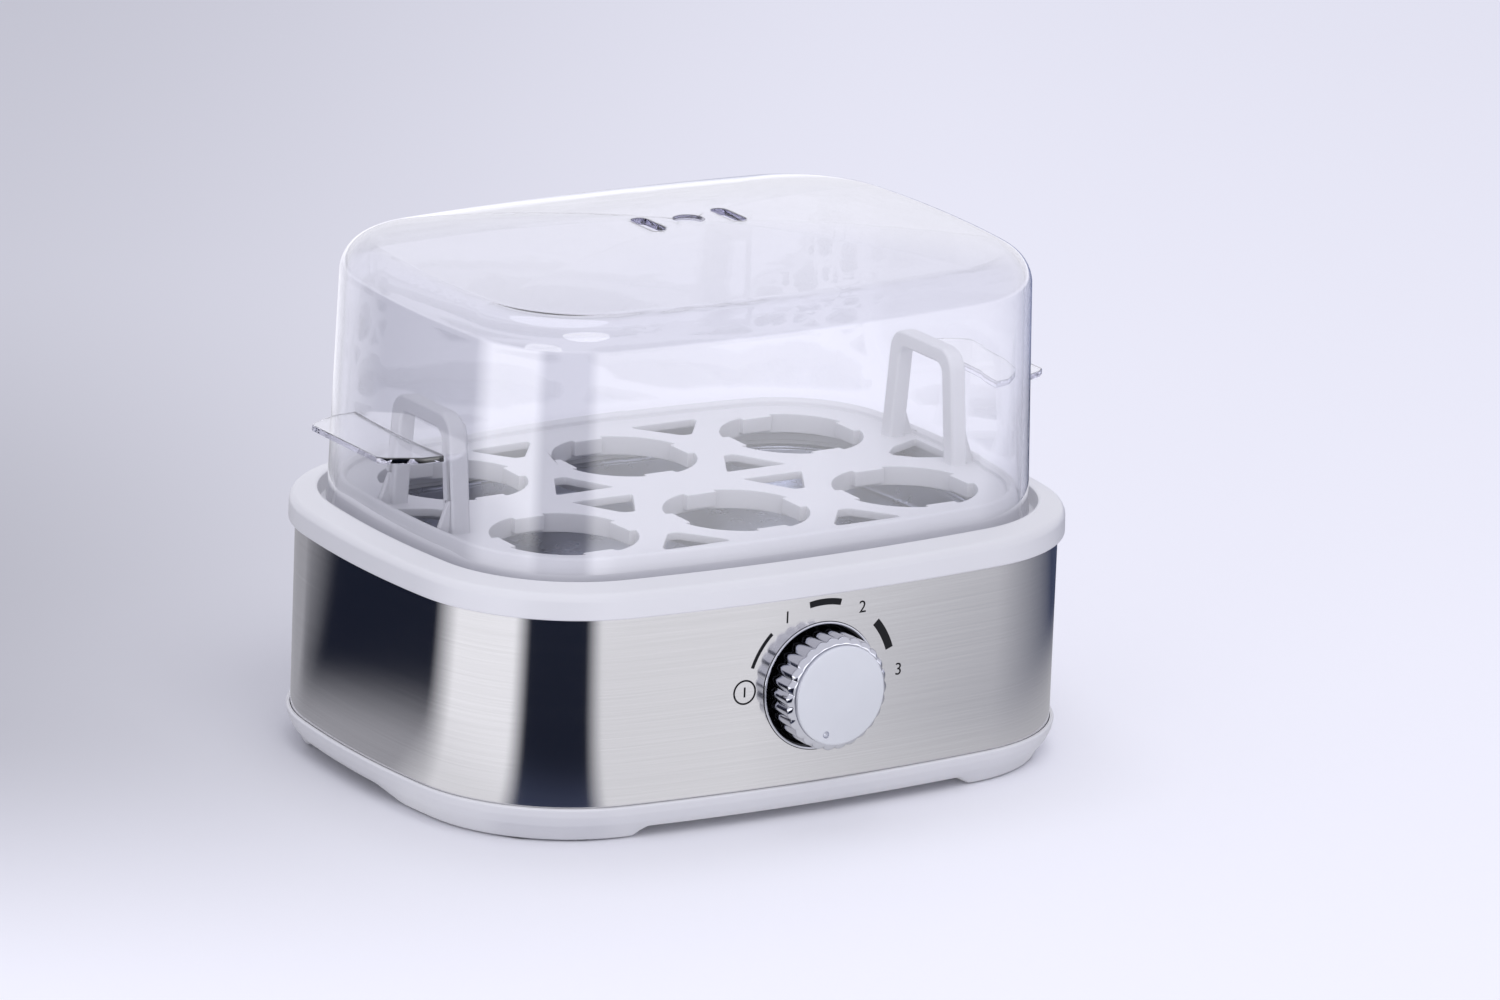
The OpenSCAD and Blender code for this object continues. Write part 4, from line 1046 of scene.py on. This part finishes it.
class FinishInnerParts(bpy.types.Operator):
    """Gives the screws, pads, heater, control and wiring their finishes"""
    bl_idname = "cooker.inner"
    bl_label = "Inner parts"

    def execute(self, context):
        slots = {}
        for part in frame["record"]["subparts"]:
            slots[part["node"]] = part["material_slot"]
        for name, node in frame["nodes"].items():
            if node.hide_render:
                continue
            node.data.materials.clear()
            node.data.materials.append(finish_for(slots[name]))
        return {"FINISHED"}


# ---------------------------------------------------------------- studio

# Plain tones of the studio's cloths and of the paper before them
WHITE, PALE, GREY, DUSK, BLACK = "#F0F0F4", "#DCDCE0", "#9A9AA0", "#3C4258", "#181C2A"
# The cloths round the body: from and to which direction in degrees, their tone, and the floor's before them
CLOTHS = [
    (-180, -150, WHITE, PALE),  # white wall on the left
    (-140, -105, BLACK, DUSK),  # dark flag at the front left
    (-95, -60, PALE, PALE),  # pale wall in front
    (10, 50, DUSK, GREY),  # open room on the right
    (65, 110, GREY, GREY),  # grey wall behind
    (120, 150, BLACK, GREY),  # dark flag at the back left
    (170, 180, WHITE, PALE)]  # the white wall again


class SetStage(bpy.types.Operator):
    """Lays the pale floor, hangs the soft lights and sets up the camera"""
    bl_idname = "cooker.stage"
    bl_label = "Stage"

    def execute(self, context):
        self.camera(context)
        self.floor()
        self.lights(context)
        self.tent()
        context.scene.view_settings.view_transform = "Standard"
        for limit in ("max_bounces", "transmission_bounces", "glossy_bounces"):
            setattr(context.scene.cycles, limit, 20)
        return {"FINISHED"}

    def camera(self, context):
        camera = bpy.data.objects.new("camera", bpy.data.cameras.new("camera"))
        context.collection.objects.link(camera)
        yaw, pitch, roll = CAMERA_YAW, CAMERA_PITCH, CAMERA_ROLL
        back = Vector((math.sin(yaw) * math.cos(pitch), -math.cos(yaw) * math.cos(pitch), math.sin(pitch)))
        right = (-back).cross(Vector((0, 0, 1))).normalized()
        up = right.cross(-back)
        turned = math.cos(roll) * right + math.sin(roll) * up
        upright = math.cos(roll) * up - math.sin(roll) * right
        camera.matrix_world = Matrix.Translation(CAMERA_PLACE) @ Matrix((turned, upright, back)).transposed().to_4x4()
        camera.data.lens = CAMERA_LENS
        camera.data.sensor_width = 36
        camera.data.clip_end = 60
        context.scene.camera = camera

    def floor(self):
        """A wide sweep of pale paper, with painted shade in a patch at the back left, where its colour is darkened to
        stand in for shadow.
        """
        bpy.ops.object.select_all(action="DESELECT")
        bpy.ops.mesh.primitive_plane_add(size=30)
        floor = named("floor")
        shade = bpy.context.scene.cooker_colours.floor
        material, tree, place_in = new_material("floor_paper_painted_shade")
        turned = add(tree, "Mapping", {"Vector": place_in, "Rotation": (0, 0, -CAMERA_YAW)})
        ways = add(tree, "SeparateXYZ", {"Vector": turned.outputs[0]})
        # Painted shade: the paper's colour falls towards half to the left of the body and behind it, a little less
        # far back.
        left = add(tree, "MapRange", {
            "Value": ways.outputs["X"], "From Min": -0.30, "From Max": 0.10, "To Min": 0.0, "To Max": 1.0},
            interpolation_type="SMOOTHSTEP")
        rear = add(tree, "MapRange", {
            "Value": ways.outputs["Y"], "From Min": -0.26, "From Max": 0.0, "To Min": 0.0, "To Max": 1.0},
            interpolation_type="SMOOTHSTEP")
        far = add(tree, "MapRange", {
            "Value": ways.outputs["Y"], "From Min": 0.10, "From Max": 0.50, "To Min": 1.0, "To Max": 0.6},
            interpolation_type="SMOOTHSTEP")
        painted_shade_left = add(tree, "Math", {0: 1.0, 1: left.outputs[0]}, operation="SUBTRACT")
        near = add(tree, "Math", {0: rear.outputs[0], 1: far.outputs[0]}, operation="MULTIPLY")
        painted_shade_share = add(tree, "Math", {0: painted_shade_left.outputs[0], 1: near.outputs[0]}, operation="MULTIPLY")
        # The paper's colour at half: the painted shade's colour.
        grey = [value * 0.50 for value in shade[:3]] + [1]
        tone = add(tree, "Mix", {"Factor": painted_shade_share.outputs[0], 6: shade, 7: grey}, data_type="RGBA")
        shader = add(tree, "BsdfPrincipled", {
            "Base Color": tone.outputs[2], "Roughness": 0.9, "Specular IOR Level": 0.0})
        add(tree, "OutputMaterial", {"Surface": shader.outputs[0]})
        floor.data.materials.append(material)
        floor.visible_glossy = False

    def lights(self, context):
        """A pale even sky and three soft lamps: in front, above, and low on the left."""
        world = bpy.data.worlds.new("studio")
        context.scene.world = world
        world.use_nodes = True
        world.node_tree.nodes["Background"].inputs["Color"].default_value = linear("#E9E9F5")
        world.node_tree.nodes["Background"].inputs["Strength"].default_value = 0.80
        world.cycles_visibility.glossy = False
        for name, place, size, power, tint in (
                ("key_lamp", (-0.3, -1.2, 1.5), 1.2, 8.5, "#FFFFFF"),
                ("top_lamp", (0, 0.4, 1.9), 1.4, 6, "#F4F5FF"),
                ("low_lamp", (-1.25, -0.85, 0.12), 0.9, 4.6, "#FFFFFF")):
            lamp = bpy.data.lights.new(name, "AREA")
            lamp.shape = "DISK"
            lamp.size = size
            lamp.energy = power
            lamp.color = linear(tint)[:3]
            stand = bpy.data.objects.new(name, lamp)
            context.collection.objects.link(stand)
            stand.location = place
            stand.rotation_euler = (Vector((0, 0, 0.05)) - Vector(place)).to_track_quat("-Z", "Y").to_euler()
            stand.visible_glossy = False

    def tent(self):
        """A tent of lit and dark cloths round the body, which only its polished parts mirror."""
        radius = 0.9
        bpy.ops.object.select_all(action="DESELECT")
        bpy.ops.mesh.primitive_cylinder_add(vertices=96, radius=radius, depth=2.2, location=(0, 0, 1.0999))
        tent = named("light_tent")
        material, tree, place_in = new_material("tent_cloth")
        ways = add(tree, "SeparateXYZ", {"Vector": place_in})
        corner = corner_places(-bpy.context.scene.cooker_sizes.corner_r, 0)[0]
        seen = add(tree, "VectorMath", {0: place_in, 1: (corner.x, corner.y, 0)}, operation="SUBTRACT")
        flat_ways = add(tree, "SeparateXYZ", {"Vector": seen.outputs[0]})
        turn = add(tree, "Math", {0: flat_ways.outputs["Y"], 1: flat_ways.outputs["X"]}, operation="ARCTAN2")
        share = add(tree, "MapRange", {"Value": turn.outputs[0], "From Min": -math.pi, "From Max": math.pi})
        tones = []
        for part in (2, 3):
            ramp = add(tree, "ValToRGB", {"Fac": share.outputs[0]})
            stops = ramp.color_ramp.elements
            stops.remove(stops[1])
            stops[0].position, stops[0].color = 0, linear(CLOTHS[0][part])
            for hung in CLOTHS:
                for direction in hung[:2]:
                    if direction > -180:
                        stops.new((direction + 180) / 360).color = linear(hung[part])
            tones.append(ramp.outputs[0])
        flat = add(tree, "VectorMath", {0: place_in, 1: (0.75, 1, 0)}, operation="MULTIPLY")
        reach = add(tree, "VectorMath", {0: flat.outputs[0]}, operation="LENGTH")
        away = add(tree, "MapRange", {
            "Value": reach.outputs["Value"], "From Min": HALF_W + 0.025, "From Max": HALF_W + 0.085},
            interpolation_type="SMOOTHSTEP")
        sides = add(tree, "Mix", {"Factor": away.outputs[0], 6: tones[1], 7: tones[0]}, data_type="RGBA")
        ahead = add(tree, "Math", {0: turn.outputs[0], 1: math.radians(118)}, operation="ADD")
        aside = add(tree, "Math", {0: ahead.outputs[0]}, operation="ABSOLUTE")
        top = add(tree, "MapRange", {
            "Value": aside.outputs[0], "From Min": 0.32, "From Max": 0.42, "To Min": 0.2, "To Max": 0.14})
        above = add(tree, "MapRange", {"Value": ways.outputs["Z"], "From Min": 0.02, "From Max": top.outputs[0]},
                    interpolation_type="SMOOTHSTEP")
        cloth = add(tree, "Mix", {"Factor": above.outputs[0], 6: sides.outputs[2], 7: linear("#F4F4FC")},
                    data_type="RGBA")
        bright = add(tree, "MapRange", {
            "Value": reach.outputs["Value"], "From Min": 0.33, "From Max": 0.41, "To Min": 1.25, "To Max": 3.2},
            interpolation_type="SMOOTHSTEP")
        high = add(tree, "MapRange", {
            "Value": ways.outputs["Z"], "From Min": 0.14, "From Max": 0.36, "To Min": 1.0, "To Max": 1.05})
        power = add(tree, "Mix", {"Factor": above.outputs[0], 2: bright.outputs[0], 3: high.outputs[0]})
        glow = add(tree, "Emission", {"Color": cloth.outputs[2], "Strength": power.outputs[0]})
        add(tree, "OutputMaterial", {"Surface": glow.outputs[0]})
        material.cycles.emission_sampling = "NONE"
        tent.data.materials.append(material)
        tent.visible_camera = False
        tent.visible_diffuse = False
        tent.visible_transmission = False
        tent.visible_volume_scatter = False
        tent.visible_shadow = False


class CookerPanel(bpy.types.Panel):
    """Lists the cooker's pieces, sizes and colours"""
    bl_idname = "COOKER_PT_pieces"
    bl_label = "Egg cooker"
    bl_space_type = "VIEW_3D"
    bl_region_type = "UI"
    bl_category = "Egg cooker"

    def draw(self, context):
        for step in STEPS:
            self.layout.operator(step.bl_idname)
        for group in (context.scene.cooker_sizes, context.scene.cooker_colours):
            box = self.layout.box()
            for name in group.bl_rna.properties.keys():
                if name not in ("rna_type", "name"):
                    box.prop(group, name)


STEPS = (SetStage, BuildBase, BuildBand, PrintDial, BuildCollar, BuildPan, BuildRack, BuildLid, BuildKnob,
         BuildBezel, BuildGland, FinishInnerParts)
CLASSES = (CookerSizes, CookerColours, *STEPS, CookerPanel)


def register():
    for part in CLASSES:
        bpy.utils.register_class(part)
    bpy.types.Scene.cooker_sizes = PointerProperty(type=CookerSizes)
    bpy.types.Scene.cooker_colours = PointerProperty(type=CookerColours)


def unregister():
    del bpy.types.Scene.cooker_colours
    del bpy.types.Scene.cooker_sizes
    for part in reversed(CLASSES):
        bpy.utils.unregister_class(part)


def main():
    register()
    for step in STEPS:
        group, action = step.bl_idname.split(".")
        getattr(getattr(bpy.ops, group), action)()


if __name__ == "__main__":
    main()
